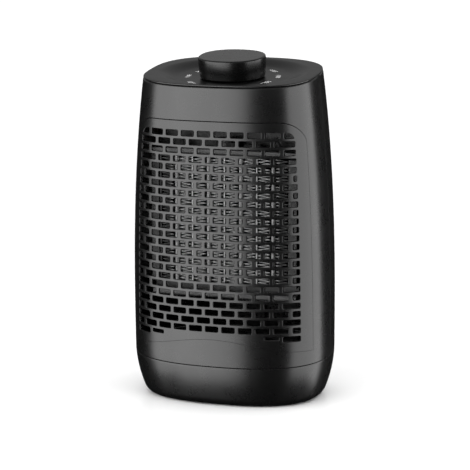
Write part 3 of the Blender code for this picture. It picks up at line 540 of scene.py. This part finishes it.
def dress_cad_nodes():
    """Every CAD node gets its slot's procedural material."""
    slots = {part["node"]: part["material_slot"] for part in frame["record"]["subparts"]}
    for node, item in frame["nodes"].items():
        item.data.materials.clear()
        item.data.materials.append(MATERIALS[slots[node]])


# ---------------------------------------------------------------- outlines
def half_width_at(z):
    return HALF_WIDTH * body_scale(z)


def arch(x, height, rise):
    return height + rise * np.cos(pi * x / ARCH_HALF_SPAN)


def panel_outline(top_inset=0.0, side_inset=0.0, foot_inset=0.0):
    """The grille panel seen from the front: arched foot, flaring sides, round top corners."""
    top = PANEL_TOP_Z - top_inset
    bend_z = PANEL_TOP_Z - PANEL_CORNER
    half = half_width_at(bend_z) * PANEL_WIDTH - side_inset
    foot_x = np.linspace(0.0, half_width_at(PANEL_ARCH_Z) * PANEL_WIDTH - side_inset, 30)
    foot_z = arch(foot_x, PANEL_ARCH_Z, PANEL_ARCH_RISE) + foot_inset
    side_z = np.linspace(foot_z[-1], bend_z, 60)[1:-1]
    turn = np.linspace(0.0, pi / 2, 14)
    right = np.concatenate([
        np.stack([foot_x, foot_z], axis=-1),
        np.stack([half_width_at(side_z) * PANEL_WIDTH - side_inset, side_z], axis=-1),
        np.stack([half - PANEL_CORNER * (1 - np.cos(turn)),
                  bend_z + (top - bend_z) * np.sin(turn)], axis=-1),
    ])
    left = right[::-1] * [-1, 1]
    return resampled(np.concatenate([right, left[:-1]]), 0.0025)


def panel_edge(loop):
    """Edge radius along the seam round the grille panel: crisp at the top, fine elsewhere."""
    share = np.clip((loop[:, 1] - PANEL_TOP_Z) / PANEL_CORNER + 1.0, 0.0, 1.0)
    return FINE_EDGE + (SEAM_EDGE - FINE_EDGE) * share ** 2


BOX_SPACING = 0.0022


def rounded_box(left, right, bottom, top, corner, steps=3):
    """A rectangle with round corners as an anticlockwise loop."""
    corner = min(corner, (right - left) / 2.001, (top - bottom) / 2.001)
    loop = []
    for cx, cz, start in ((right - corner, bottom + corner, -pi / 2),
                          (right - corner, top - corner, 0),
                          (left + corner, top - corner, pi / 2),
                          (left + corner, bottom + corner, pi)):
        for i in range(steps + 1):
            turn = start + pi / 2 * i / steps
            loop.append((cx + corner * cos(turn), cz + corner * sin(turn)))
    return resampled(np.array(loop), BOX_SPACING)


def slot_loops():
    """The grille's slots: bricks in rows, shifted every other row, cut by the arched foot."""
    loops = []
    for row in range(SLOT_ROWS):
        z = SLOT_TOP_ROW_Z - SLOT_ROW_PITCH * row
        edge = float(half_width_at(z)) * FIELD_WIDTH
        shift = 0.5 if row % 2 == 0 else 0.0
        low, high = z - SLOT_HEIGHT / 2, z + SLOT_HEIGHT / 2
        reach = edge - (SLOT_PITCH - SLOT_WIDTH) - SLOT_LEAST
        for k in range(-6, 7):
            centre = (k + shift) * SLOT_PITCH
            left, right = centre - SLOT_WIDTH / 2, centre + SLOT_WIDTH / 2
            left = left if left > -reach else -edge
            right = right if right < reach else edge
            if right - left < SLOT_LEAST:
                continue
            foot = float(arch((left + right) / 2, FIELD_ARCH_Z, FIELD_ARCH_RISE))
            if high - max(low, foot) < SLOT_LEAST:
                continue
            loop = rounded_box(left, right, max(low, foot), high, SLOT_CORNER)
            if row == 0:
                loop = round_field_corner(loop, edge, high)
            loops.append(loop)
    return loops


def round_field_corner(loop, edge, top):
    """Pulls a top-row slot's points inside the slotted field's round top corner."""
    loop = loop.copy()
    centre_x, centre_z = edge - FIELD_CORNER, top - FIELD_CORNER
    for point in loop:
        dx, dz = abs(point[0]) - centre_x, point[1] - centre_z
        reach = np.hypot(dx, dz)
        if dx > 0 and dz > 0 and reach > FIELD_CORNER:
            point[0] = np.sign(point[0]) * (centre_x + dx * FIELD_CORNER / reach)
            point[1] = centre_z + dz * FIELD_CORNER / reach
    return loop


# ---------------------------------------------------------------- casing
def on_front(points, depth):
    return side_points(points[:, 0], points[:, 1], depth, True)


def on_rear(points, depth):
    """The rear seen from behind, so that x runs the other way."""
    return side_points(-points[:, 0], points[:, 1], depth, False)


def on_body(points, depth):
    return body_points(angle_at(points[:, 0]), points[:, 1], depth)


SLOT_EDGE = 0.00035               # edge radius of the grilles' slots
SPLIT_MARGIN = 0.0001             # half the plan angle of the gap between the shells
SIDE_GAP = 0.00006                # between the grille panel and the shell
FOOT_GAP = 0.00012
FINE_EDGE = 0.00006               # edge radii: shells' split, other seams, and under the lid
SEAM_EDGE = 0.0003
RIM_EDGE = 0.0018
RIM_EDGE_Z = (0.221, 0.224)       # the shells' edge radius grows between these heights


def shell_edge(loop):
    """Edge radius along a shell's outline: larger at its top, fine where the shells meet."""
    low, high = RIM_EDGE_Z
    share = np.clip((loop[:, 1] - low) / (high - low), 0.0, 1.0)
    radius = SEAM_EDGE + (RIM_EDGE - SEAM_EDGE) * share
    along = loop[:, 0]
    at_split = np.minimum(along - along.min(), along.max() - along) < SEAM_EDGE
    return np.where(at_split, FINE_EDGE, radius)


def make_front_grille():
    holes = slot_loops()
    outline = panel_outline(GAP, SIDE_GAP, FOOT_GAP)
    item = add_plate("grille_panel", outline, holes, on_front, edge=SLOT_EDGE, spacing=0.0030,
                     edges={0: panel_edge})
    finish_piece(item, "grille", "grille", "heater", "front_grille")


SHELL_COLUMNS = 90
SHELL_ROWS = 60


def shell_outline(angles, lengths):
    """A shell's edge in body lengths and heights: its foot, one side, its top, the other."""
    low = plane_heights(angles, SEAM_Z, SEAM_TILT) + GAP / 2
    high = plane_heights(angles, LID_Z + RIM_LAP, LID_TILT)
    share = np.linspace(0.0, 1.0, SHELL_ROWS)[1:-1]
    right = np.stack([np.full_like(share, lengths[-1]), low[-1] + (high[-1] - low[-1]) * share],
                     axis=-1)
    left = np.stack([np.full_like(share, lengths[0]), high[0] + (low[0] - high[0]) * share],
                    axis=-1)
    return np.concatenate([np.stack([lengths, low], axis=-1), right,
                           np.stack([lengths[::-1], high[::-1]], axis=-1), left])


def to_body_plane(points, front):
    """From (x, z) seen square on, to body length and height."""
    x, z = points[:, 0], points[:, 1]
    _, half_width, _, squareness = plan_shape(front, z)
    across = np.sign(x) * (np.abs(x) / half_width) ** (squareness / 2)
    angle = np.arcsin(np.clip(across, -1, 1))
    if not front:
        angle = pi - angle
    return np.stack([length_at(angle), z], axis=-1)


def make_front_shell():
    split = pi / 2 - SPLIT_MARGIN
    angles = np.linspace(-split, split, SHELL_COLUMNS)
    window = to_body_plane(panel_outline(), True)
    item = add_plate("shell_front", shell_outline(angles, length_at(angles)), [window], on_body,
                     spacing=0.0035, steps=5, edges={0: shell_edge, 1: panel_edge})
    finish_piece(item, "shell", "shell", "heater", "front_shell")


def on_rear_body(points, depth):
    """Body lengths run on past the back's middle, so that the rear shell is one piece."""
    lengths = (points[:, 0] + GIRTH / 2) % GIRTH - GIRTH / 2
    return body_points(angle_at(lengths), points[:, 1], depth)


def past_middle(lengths, beyond):
    """Body lengths, with a whole girth added where beyond holds."""
    return np.where(beyond, lengths + GIRTH, lengths)


def to_rear(points):
    """From (x, z) seen square on from behind, to the rear shell's body length and height."""
    made = to_body_plane(points * [-1, 1], False)
    made[:, 0] = past_middle(made[:, 0], made[:, 0] < 0)
    return made


def make_rear_shell():
    angles = np.linspace(pi / 2 + SPLIT_MARGIN, tau - pi / 2 - SPLIT_MARGIN, SHELL_COLUMNS)
    wrapped = (angles + pi) % tau - pi
    outline = shell_outline(wrapped, past_middle(length_at(wrapped), angles > pi))
    window = rounded_box(-REAR_PANEL_HALF_WIDTH, REAR_PANEL_HALF_WIDTH, *REAR_PANEL_Z,
                         REAR_PANEL_CORNER, steps=6)
    turn = even_angles(40)
    inlet = np.stack([(GLAND_NECK_R + GAP) * np.cos(turn),
                      GLAND_Z + (GLAND_NECK_R + GAP) * np.sin(turn)], axis=-1)
    item = add_plate("shell_rear", outline, [to_rear(window), to_rear(inlet)], on_rear_body,
                     edge=SEAM_EDGE, spacing=0.0035, steps=5, edges={0: shell_edge})
    finish_piece(item, "shell", "shell", "heater", "rear_shell")


def make_rear_grille():
    low, high = REAR_PANEL_Z
    outline = rounded_box(-REAR_PANEL_HALF_WIDTH + GAP, REAR_PANEL_HALF_WIDTH - GAP, low + GAP,
                          high - GAP, REAR_PANEL_CORNER - GAP, steps=6)
    rows = int((high - low - REAR_MARGIN) / REAR_SLOT_PITCH)
    near, far = REAR_SLOT_X
    first = (low + high) / 2 - REAR_SLOT_PITCH * (rows - 1) / 2
    holes = []
    for row in range(rows):
        z = first + REAR_SLOT_PITCH * row
        for left, right in ((-far, -near), (near, far)):
            holes.append(rounded_box(left, right, z - REAR_SLOT_HEIGHT / 2,
                                     z + REAR_SLOT_HEIGHT / 2, REAR_SLOT_CORNER, steps=5))
    item = add_plate("intake_panel", outline, holes, on_rear, edge=SLOT_EDGE, spacing=0.0030)
    finish_piece(item, "grille", "grille", "heater", "rear_grille")


BASE_EDGE = 0.00045
FOOT_HOLE_R = 0.0027
PLUNGER_HOLE_R = 0.0043
SCREW_HOLE_R = 0.0033
FLOOR_HOLES = ([(f"foot_{i}", FOOT_HOLE_R) for i in range(1, 5)]
               + [("tip_plunger", PLUNGER_HOLE_R)]
               + [(f"base_screw_{i}", SCREW_HOLE_R) for i in range(1, 5)])


def make_base():
    """The base cover's rounded flank and inner wall; its flat floor is a plate with holes."""
    angles = even_angles(180)
    seam = plane_heights(angles, SEAM_Z, SEAM_TILT) - GAP / 2
    rings = [body_points(angles, seam, inset) for inset in (WALL, BASE_EDGE)]
    for step in range(1, 4):
        turn = pi / 2 * step / 3
        rings.append(body_points(angles, seam - BASE_EDGE * (1 - cos(turn)),
                                 BASE_EDGE * (1 - sin(turn))))
    for share in np.linspace(0.0, 1.0, 26)[1:]:
        height = (seam - BASE_EDGE) + (EDGE_HEIGHT - seam + BASE_EDGE) * share
        rings.append(body_points(angles, height))
    for share in np.linspace(0.0, 1.0, 12)[1:]:
        height = EDGE_HEIGHT + (BASE_BOTTOM_Z - EDGE_HEIGHT) * (1 - (1 - share) ** 1.6)
        rings.append(body_points(angles, np.full_like(angles, height)))
    flat = rings[-1]
    for share in (0.995, 0.985, 0.97):
        rings.append(flat * [share, share, 1.0])
    lip = rings[-1]
    rings.append(lip * [1, 1, 0] + [0, 0, BASE_BOTTOM_Z + WALL])
    for share in np.linspace(0.0, 1.0, 8)[1:-1]:
        height = BASE_BOTTOM_Z + WALL + (seam - BASE_BOTTOM_Z - WALL) * share
        rings.append(body_points(angles, height, WALL))
    flank = add_loft("base_flank", rings, closed=True)
    finish_piece(flank, "shell", "shell", "heater", "base_cover")

    def on_floor(points, depth):
        z = BASE_BOTTOM_Z + np.broadcast_to(depth, len(points))
        return np.stack([-points[:, 0], points[:, 1], z], axis=-1)

    holes = []
    turn = even_angles(32)
    for node, radius in FLOOR_HOLES:
        low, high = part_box(node)
        x, y = (low[0] + high[0]) / 2, (low[1] + high[1]) / 2
        holes.append(np.stack([-x + radius * np.cos(turn), y + radius * np.sin(turn)], axis=-1))
    outline = (lip * [-1.0, 1.0, 1.0])[:, :2]
    floor = add_plate("base_floor", outline, holes, on_floor, edge=0.0002, spacing=0.006)
    finish_piece(floor, "shell", "shell", "heater", "base_cover")


# ---------------------------------------------------------------- top panel and knob
def tilted_frame(height, slope):
    """A tilted plane's own frame: origin on the knob's axis, +Z out of the plane."""
    origin = (0.0, KNOB_Y, height + slope * (KNOB_Y - PLAN_CENTRE_Y))
    return Matrix.Translation(origin) @ Matrix.Rotation(atan(slope), 4, "X")


CONTROL = tilted_frame(RIM_Z, RIM_TILT)
LID = tilted_frame(LID_Z, LID_TILT)


def moved(points, matrix):
    turn = np.array(matrix)
    return points @ turn[:3, :3].T + turn[:3, 3]


def dish_height(reach):
    """The lid's height over its plane; reach runs from 0 at the middle to 1 at the dish's rim."""
    share = np.clip((1.0 - reach) / DISH_WALL, 0.0, 1.0)
    return LID_HEIGHT - DISH_DEPTH * share * share * (3.0 - 2.0 * share)


LID_EDGE = 0.0006
LID_SEAM = 0.0002                 # the lid's edge inside the body surface
DISH_REACHES = np.concatenate([[0.0], np.linspace(0.2, 0.68, 6), np.linspace(0.70, 1.0, 22)])


def make_top_panel():
    """The dished lid: its upper side, its rounded edge and skirt, and its underside."""
    angles = even_angles(200)
    rim = moved(body_points(angles, plane_heights(angles, LID_Z, LID_TILT)),
                LID.inverted())[:, :2]
    circle = np.stack([np.sin(angles), -np.cos(angles)], axis=-1)
    dish = circle * [DISH_HALF_WIDTH, DISH_HALF_DEPTH] + [0, DISH_CENTRE_Y]

    def ring(plan, height):
        return np.concatenate([plan, np.broadcast_to(height, (len(plan), 1))], axis=1)

    def shrunk(inset):
        return rim * (1.0 - inset / np.linalg.norm(rim, axis=1, keepdims=True))

    upper = []
    for reach in DISH_REACHES:
        plan = circle * (NECK_R + GAP) * (1 - reach) + dish * reach
        upper.append(ring(plan, dish_height(reach)))
    flat = shrunk(LID_EDGE + LID_SEAM)
    for share in (0.3, 0.65):
        upper.append(ring(dish + (flat - dish) * share, LID_HEIGHT))
    under = [ring(r[:, :2], r[0, 2] - LID_THICKNESS) for r in reversed(upper)]
    skirt = [ring(flat, LID_HEIGHT)]
    for step in range(1, 6):
        turn = pi / 2 * step / 5
        skirt.append(ring(shrunk(LID_SEAM + LID_EDGE * (1 - sin(turn))),
                          LID_HEIGHT - LID_EDGE * (1 - cos(turn))))
    skirt.append(ring(shrunk(LID_SEAM), RIM_LAP + 0.0001))
    rings = [moved(r, LID) for r in upper + skirt + under]
    item = add_loft("lid", rings, closed=True, sharp=50)
    finish_piece(item, "panel", "panel", "heater", "top_panel")


KNOB_FOOT = 0.0008                # edge radii at the knob's bottom and top
KNOB_CROWN = 0.0013
KNOB_DRAFT = 0.0008               # its side curves in by this much towards the bottom
KNOB_CEILING = 0.0023             # thickness of its top, hollow below
KNOB_INNER_FOOT = 0.0003          # the hollow's mouth above the bottom


def make_knob():
    angles = even_angles(144)
    across, along = np.sin(angles), np.cos(angles)
    power = 2 / KNOB_SQUARENESS

    def ring(height, inset):
        x = (KNOB_HALF_WIDTH - inset) * np.sign(across) * np.abs(across) ** power
        y = -(KNOB_HALF_DEPTH - inset) * np.sign(along) * np.abs(along) ** power
        return np.stack([x, y, np.full_like(x, height)], axis=-1)

    rings = [ring(KNOB_TOP - KNOB_CEILING, WALL), ring(KNOB_BOTTOM + KNOB_INNER_FOOT, WALL)]
    for step in range(7):
        turn = pi / 2 * step / 6
        rings.append(ring(KNOB_BOTTOM + KNOB_FOOT * (1 - cos(turn)),
                          KNOB_DRAFT + KNOB_FOOT * (1 - sin(turn))))
    low, high = KNOB_BOTTOM + KNOB_FOOT, KNOB_TOP - KNOB_CROWN
    for share in np.linspace(0.0, 1.0, 12)[1:]:
        rings.append(ring(low + (high - low) * share, KNOB_DRAFT * (1 - share) ** 2))
    for step in range(1, 8):
        turn = pi / 2 * step / 7
        rings.append(ring(KNOB_TOP - KNOB_CROWN * (1 - sin(turn)), KNOB_CROWN * (1 - cos(turn))))
    brim = rings[-1]
    for share in (0.9, 0.6, 0.3, 0.08):
        rings.append(brim * [share, share, 1.0])
    item = add_loft("knob_cap", [moved(r, CONTROL) for r in rings], cap_start=True,
                    cap_end=True, sharp=50)
    finish_piece(item, "knob", "knob", "knob", "control_knob")


MARK_TURN = 9                     # degrees; the dial's middle, from the front towards +X
MARK_ANGLES = (-126, -94, -55, 55, 92, 126)
MARK_RADIUS = 0.0325
MARK_SIZE = 0.0047
MARK_DEPTH = 0.00002
MARK_LIFT = 0.00003               # above the dish
MARK_FLIP = 80                    # degrees past which a number stands the other way up


def make_dial_marks():
    """Printed numbers round the knob, their feet towards the user."""
    for index, angle in enumerate(MARK_ANGLES, start=1):
        turn = radians(angle + MARK_TURN)
        text = bpy.data.curves.new("numeral", "FONT")
        text.body = str(900 + 100 * index)
        text.size = MARK_SIZE
        text.align_x = "CENTER"
        text.align_y = "CENTER"
        text.extrude = MARK_DEPTH
        label = bpy.data.objects.new("numeral", text)
        bpy.context.scene.collection.objects.link(label)
        place = (MARK_RADIUS * sin(turn), -MARK_RADIUS * cos(turn),
                 dish_height(0.0) + MARK_LIFT)
        flip = pi if abs(angle) > MARK_FLIP else 0.0
        label.matrix_world = (LID @ Matrix.Translation(place)
                              @ Matrix.Rotation(turn + flip, 4, "Z"))
        bpy.context.view_layer.update()
        depsgraph = bpy.context.evaluated_depsgraph_get()
        mesh = bpy.data.meshes.new_from_object(label.evaluated_get(depsgraph))
        mesh.transform(label.matrix_world)
        bpy.data.objects.remove(label, do_unlink=True)
        piece = bpy.data.objects.new(f"dial_mark_{index}", mesh)
        bpy.context.scene.collection.objects.link(piece)
        finish_piece(piece, "marking", "panel", "heater")


# ---------------------------------------------------------------- heating element
FOLDS = 42
BAND = 0.00036                    # the band's thickness, measured upright
BAND_INSET = 0.0001               # from a plate to the folds
BAND_END = 0.0003                 # from a pack's end to the first fold
PLATE_HALF = 0.0005               # half the thickness of the plate between two bands
PLATE_NOSE = 0.0003               # the plate in front of the bands
LEAST_BAND = 0.002                # a narrower space gets no band


def corrugated_band(left, right, low, high, front, back):
    """One zig-zag aluminium band between two plates, as a closed thin sheet."""
    count = FOLDS * 2 + 1
    z = np.linspace(low, high, count)
    x = np.where(np.arange(count) % 2 == 0, left, right)
    path = np.stack([x, z], axis=-1)
    offset = BAND / 2
    upper = np.stack([path[:, 0], path[:, 1] + offset], axis=-1)
    lower = np.stack([path[:, 0], path[:, 1] - offset], axis=-1)
    verts, faces = [], []
    for y in (front, back):
        for line in (upper, lower):
            verts += [(px, y, pz) for px, pz in line]
    n = count
    for i in range(n - 1):
        j = i + 1
        faces.append((i, j, n + j, n + i))
        faces.append((2 * n + j, 2 * n + i, 3 * n + i, 3 * n + j))
        faces.append((j, i, 2 * n + i, 2 * n + j))
        faces.append((n + i, n + j, 3 * n + j, 3 * n + i))
    faces.append((0, n, 3 * n, 2 * n))
    faces.append((2 * n - 1, n - 1, 3 * n - 1, 4 * n - 1))
    return verts, faces


def make_fin_packs():
    """Folded aluminium bands on both sides of each pack's plate."""
    for index in range(1, 6):
        node = f"fin_pack_{index}"
        low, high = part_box(node)
        centre = (index - 3) * 2 * PTC_PITCH
        verts, faces = [], []
        for left, right in ((low[0], centre - PLATE_HALF), (centre + PLATE_HALF, high[0])):
            if right - left > LEAST_BAND:
                more, shapes = corrugated_band(left + BAND_INSET, right - BAND_INSET,
                                               low[2] + BAND_END, high[2] - BAND_END,
                                               low[1], high[1])
                start = len(verts)
                verts += more
                faces += [tuple(start + i for i in face) for face in shapes]
        plate = [(x, y, z) for x in (centre - PLATE_HALF, centre + PLATE_HALF)
                 for y in (low[1] - PLATE_NOSE, high[1]) for z in (low[2], high[2])]
        start = len(verts)
        verts += plate
        faces += [tuple(start + i for i in face) for face in
                  ((0, 1, 3, 2), (4, 6, 7, 5), (0, 4, 5, 1), (2, 3, 7, 6), (0, 2, 6, 4),
                   (1, 5, 7, 3))]
        item = link_mesh(f"radiator_{index}", verts, faces)
        finish_piece(item, "aluminium", "aluminium", "heater", node)


def make_tubes():
    """The PTC stones' flat tubes, with rounded noses."""
    turn = np.linspace(-pi / 2, pi / 2, 9)
    for index in range(1, 5):
        low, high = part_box(f"ptc_tube_{index}")
        radius, centre = (high[0] - low[0]) / 2, (high[0] + low[0]) / 2
        nose = np.stack([centre + radius * np.sin(turn),
                         low[1] + radius - radius * np.cos(turn)], axis=-1)
        tail = np.stack([centre + radius * np.sin(turn[::-1]),
                         high[1] - radius + radius * np.cos(turn[::-1])], axis=-1)
        plan = np.concatenate([nose, tail])
        rings = [np.column_stack([plan, np.full(len(plan), z)])
                 for z in np.linspace(low[2], high[2], 5)]
        tube = add_loft(f"stone_tube_{index}", rings, cap_start=True, cap_end=True, sharp=60)
        finish_piece(tube, "tube", "aluminium", "heater", f"ptc_tube_{index}")


ELEMENT_EDGE = 0.0004
SEAT_GAP = 0.0001                 # between a front bar and its seat


def make_element_ends():
    """The element's two end pieces: a front bar with rounded edges, painted grey as painted light,
    and a black seat.
    """
    for end, bar in (("bottom", FRAME_FOOT_Z), ("top", FRAME_HEAD_Z)):
        node = f"element_frame_{end}"
        low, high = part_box(node)
        outline = rounded_box(low[0], high[0], *bar, ELEMENT_EDGE)
        inner = outline - ELEMENT_EDGE * loop_normals(outline)
        rings = [np.column_stack([plan[:, 0], np.full(len(plan), y), plan[:, 1]])
                 for plan, y in ((inner, low[1]), (outline, low[1] + ELEMENT_EDGE),
                                 (outline, SEAT_Y))]
        front = add_loft(f"element_bar_{end}", rings, cap_start=True, cap_end=True)
        finish_piece(front, "element", "frame", "heater", node)
        block = rounded_box(low[0], high[0], low[2], high[2], ELEMENT_EDGE)
        rings = [np.column_stack([block[:, 0], np.full(len(block), y), block[:, 1]])
                 for y in (SEAT_Y + SEAT_GAP, high[1])]
        seat = add_loft(f"element_seat_{end}", rings, cap_start=True, cap_end=True)
        finish_piece(seat, "frame", "frame", "heater", node)


BOOT_PROFILE = (                  # share of the height, half width, half depth
    (0.0, 0.0036, 0.0012),
    (0.3, 0.0036, 0.0012),
    (0.45, 0.0030, 0.0011),
    (0.9, 0.0016, 0.0010),
    (1.0, 0.0012, 0.0008),
)
BOOT_POWER = 0.6                  # below 1, the boot's section is squarer than an ellipse


def make_terminal_boots():
    """Insulating boots over the element's two blade terminals."""
    for side in ("left", "right"):
        low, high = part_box(f"element_terminal_{side}")
        middle = (low + high) / 2
        rings = []
        for height, wide, deep in BOOT_PROFILE:
            turn = even_angles(24)
            x = wide * np.sign(np.cos(turn)) * np.abs(np.cos(turn)) ** BOOT_POWER
            y = deep * np.sign(np.sin(turn)) * np.abs(np.sin(turn)) ** BOOT_POWER
            z = np.full_like(x, low[2] + (high[2] - low[2]) * height)
            rings.append(np.stack([middle[0] + x, middle[1] + y, z], axis=-1))
        boot = add_loft(f"terminal_boot_{side}", rings, cap_start=True, cap_end=True)
        finish_piece(boot, "rubber", "rubber", "heater", f"element_terminal_{side}")


def make_gland_membrane():
    """A thin rubber disc that closes the gland's empty bore."""
    turn = even_angles(32)
    rings = [np.stack([GLAND_BORE_R * np.cos(turn), np.full_like(turn, y),
                       GLAND_Z + GLAND_BORE_R * np.sin(turn)], axis=-1) for y in MEMBRANE_Y]
    item = add_loft("gland_membrane", rings, cap_start=True, cap_end=True)
    finish_piece(item, "rubber", "rubber", "heater")


# ---------------------------------------------------------------- stage
SOFTBOX_DISTANCE = 1.45
SOFTBOX_TOP = 1.10
SOFTBOX_SPAN = 30.0               # degrees that one flat lamp of an arc covers, at most
SOFTBOXES = (                     # name, first and last azimuth, radiance, height of the bottom
    ("softbox_left", -73.0, -42.0, 4.1, -0.78),
    ("softbox_front", -42.0, -16.0, 4.75, -0.90),
    ("softbox_middle", -16.0, -3.0, 3.6, -0.90),
    ("softbox_right", 55.0, 130.0, 3.15, -0.90),
)
OVERHEAD_SIZE = 5.0
OVERHEAD_HEIGHT = 3.0
OVERHEAD_POWER = 212.0

FLOOR_REACH = 12.0
FLOOR_GLOW_FROM = 0.5             # the floor's glow grows between these distances
FLOOR_GLOW_TO = 3.0
FLOOR_GLOW = 0.85


def softbox(name, azimuth, width, bottom, radiance):
    """An upright flat lamp that faces the heater; azimuth runs from the front towards +X."""
    height = SOFTBOX_TOP - bottom
    data = bpy.data.lights.new(name, "AREA")
    data.shape = "RECTANGLE"
    data.size = width
    data.size_y = height
    data.energy = radiance * pi * width * height
    item = bpy.data.objects.new(name, data)
    turn = radians(azimuth)
    item.location = (SOFTBOX_DISTANCE * sin(turn), -SOFTBOX_DISTANCE * cos(turn),
                     (SOFTBOX_TOP + bottom) / 2)
    item.rotation_euler = (pi / 2, 0.0, turn)
    item.visible_camera = False
    bpy.context.scene.collection.objects.link(item)


def arc_softbox(name, start, end, radiance, bottom):
    """Flat softboxes in an arc between two azimuths, all of one radiance."""
    count = max(1, round((end - start) / SOFTBOX_SPAN))
    step = (end - start) / count
    width = 2 * SOFTBOX_DISTANCE * tan(radians(step / 2))
    for i in range(count):
        softbox(f"{name}_{i + 1}", start + step * (i + 0.5), width, bottom, radiance)


def overhead_light():
    """A large soft lamp above, which leaves no highlight of its own."""
    data = bpy.data.lights.new("overhead", "AREA")
    data.shape = "SQUARE"
    data.size = OVERHEAD_SIZE
    data.energy = OVERHEAD_POWER
    item = bpy.data.objects.new("overhead", data)
    item.location = (0.0, 0.0, OVERHEAD_HEIGHT)
    item.visible_camera = False
    item.visible_glossy = False
    bpy.context.scene.collection.objects.link(item)


def floor_material():
    """A glossy white tabletop that grows brighter far from the object."""
    made, nodes, links, shader = new_material("floor_white")
    shader.inputs["Base Color"].default_value = (0.80, 0.80, 0.80, 1)
    shader.inputs["Roughness"].default_value = 0.12
    place = nodes.new("ShaderNodeTexCoord")
    reach = nodes.new("ShaderNodeVectorMath")
    reach.operation = "LENGTH"
    links.new(place.outputs["Object"], reach.inputs[0])
    fade = nodes.new("ShaderNodeMapRange")
    fade.inputs["From Min"].default_value = FLOOR_GLOW_FROM
    fade.inputs["From Max"].default_value = FLOOR_GLOW_TO
    fade.inputs["To Max"].default_value = FLOOR_GLOW
    links.new(reach.outputs["Value"], fade.inputs["Value"])
    shader.inputs["Emission Color"].default_value = (1, 1, 1, 1)
    links.new(fade.outputs["Result"], shader.inputs["Emission Strength"])
    return made


def make_world():
    """Dark below the horizon, pale grey above it."""
    world = bpy.data.worlds.new("studio")
    world.use_nodes = True
    nodes, links = world.node_tree.nodes, world.node_tree.links
    place = nodes.new("ShaderNodeTexCoord")
    split = nodes.new("ShaderNodeSeparateXYZ")
    links.new(place.outputs["Generated"], split.inputs["Vector"])
    ramp = nodes.new("ShaderNodeValToRGB")
    ramp.color_ramp.elements[0].position = 0.02
    ramp.color_ramp.elements[0].color = (0.015, 0.015, 0.015, 1)
    ramp.color_ramp.elements[1].position = 0.22
    ramp.color_ramp.elements[1].color = (0.33, 0.33, 0.33, 1)
    links.new(split.outputs["Z"], ramp.inputs["Fac"])
    links.new(ramp.outputs["Color"], nodes["Background"].inputs["Color"])
    bpy.context.scene.world = world


def make_floor():
    """A plain pale floor that casts and mirrors nothing on the heater."""
    mesh = bpy.data.meshes.new("floor")
    reach = FLOOR_REACH
    mesh.from_pydata([(-reach, -reach, 0), (reach, -reach, 0), (reach, reach, 0),
                      (-reach, reach, 0)], [], [(0, 1, 2, 3)])
    mesh.materials.append(floor_material())
    floor = bpy.data.objects.new("floor", mesh)
    bpy.context.scene.collection.objects.link(floor)
    floor.visible_glossy = False
    floor.visible_shadow = False


def make_stage():
    make_floor()
    for box in SOFTBOXES:
        arc_softbox(*box)
    overhead_light()
    make_world()
    bpy.context.scene.view_settings.view_transform = "Standard"


CAMERA_AZIMUTH = 18.2             # degrees, from the front towards +X
CAMERA_DISTANCE = 1.432
CAMERA_HEIGHT = 0.3787
CAMERA_PITCH = 10.42              # degrees, downwards
CAMERA_LENS = 154.2638            # millimetres, on a sensor of this width
SENSOR_WIDTH = 36.0


def make_camera():
    data = bpy.data.cameras.new("camera")
    data.sensor_width = SENSOR_WIDTH
    data.lens = CAMERA_LENS
    data.clip_end = 50.0
    camera = bpy.data.objects.new("camera", data)
    turn = radians(CAMERA_AZIMUTH)
    camera.location = (CAMERA_DISTANCE * sin(turn), PLAN_CENTRE_Y - CAMERA_DISTANCE * cos(turn),
                       CAMERA_HEIGHT)
    camera.rotation_euler = (radians(90.0 - CAMERA_PITCH), 0.0, turn)
    bpy.context.scene.collection.objects.link(camera)
    bpy.context.scene.camera = camera


make_camera()
dress_cad_nodes()
make_front_grille()
make_front_shell()
make_rear_shell()
make_rear_grille()
make_base()
make_top_panel()
make_knob()
make_dial_marks()
make_fin_packs()
make_tubes()
make_element_ends()
make_terminal_boots()
make_gland_membrane()
make_stage()
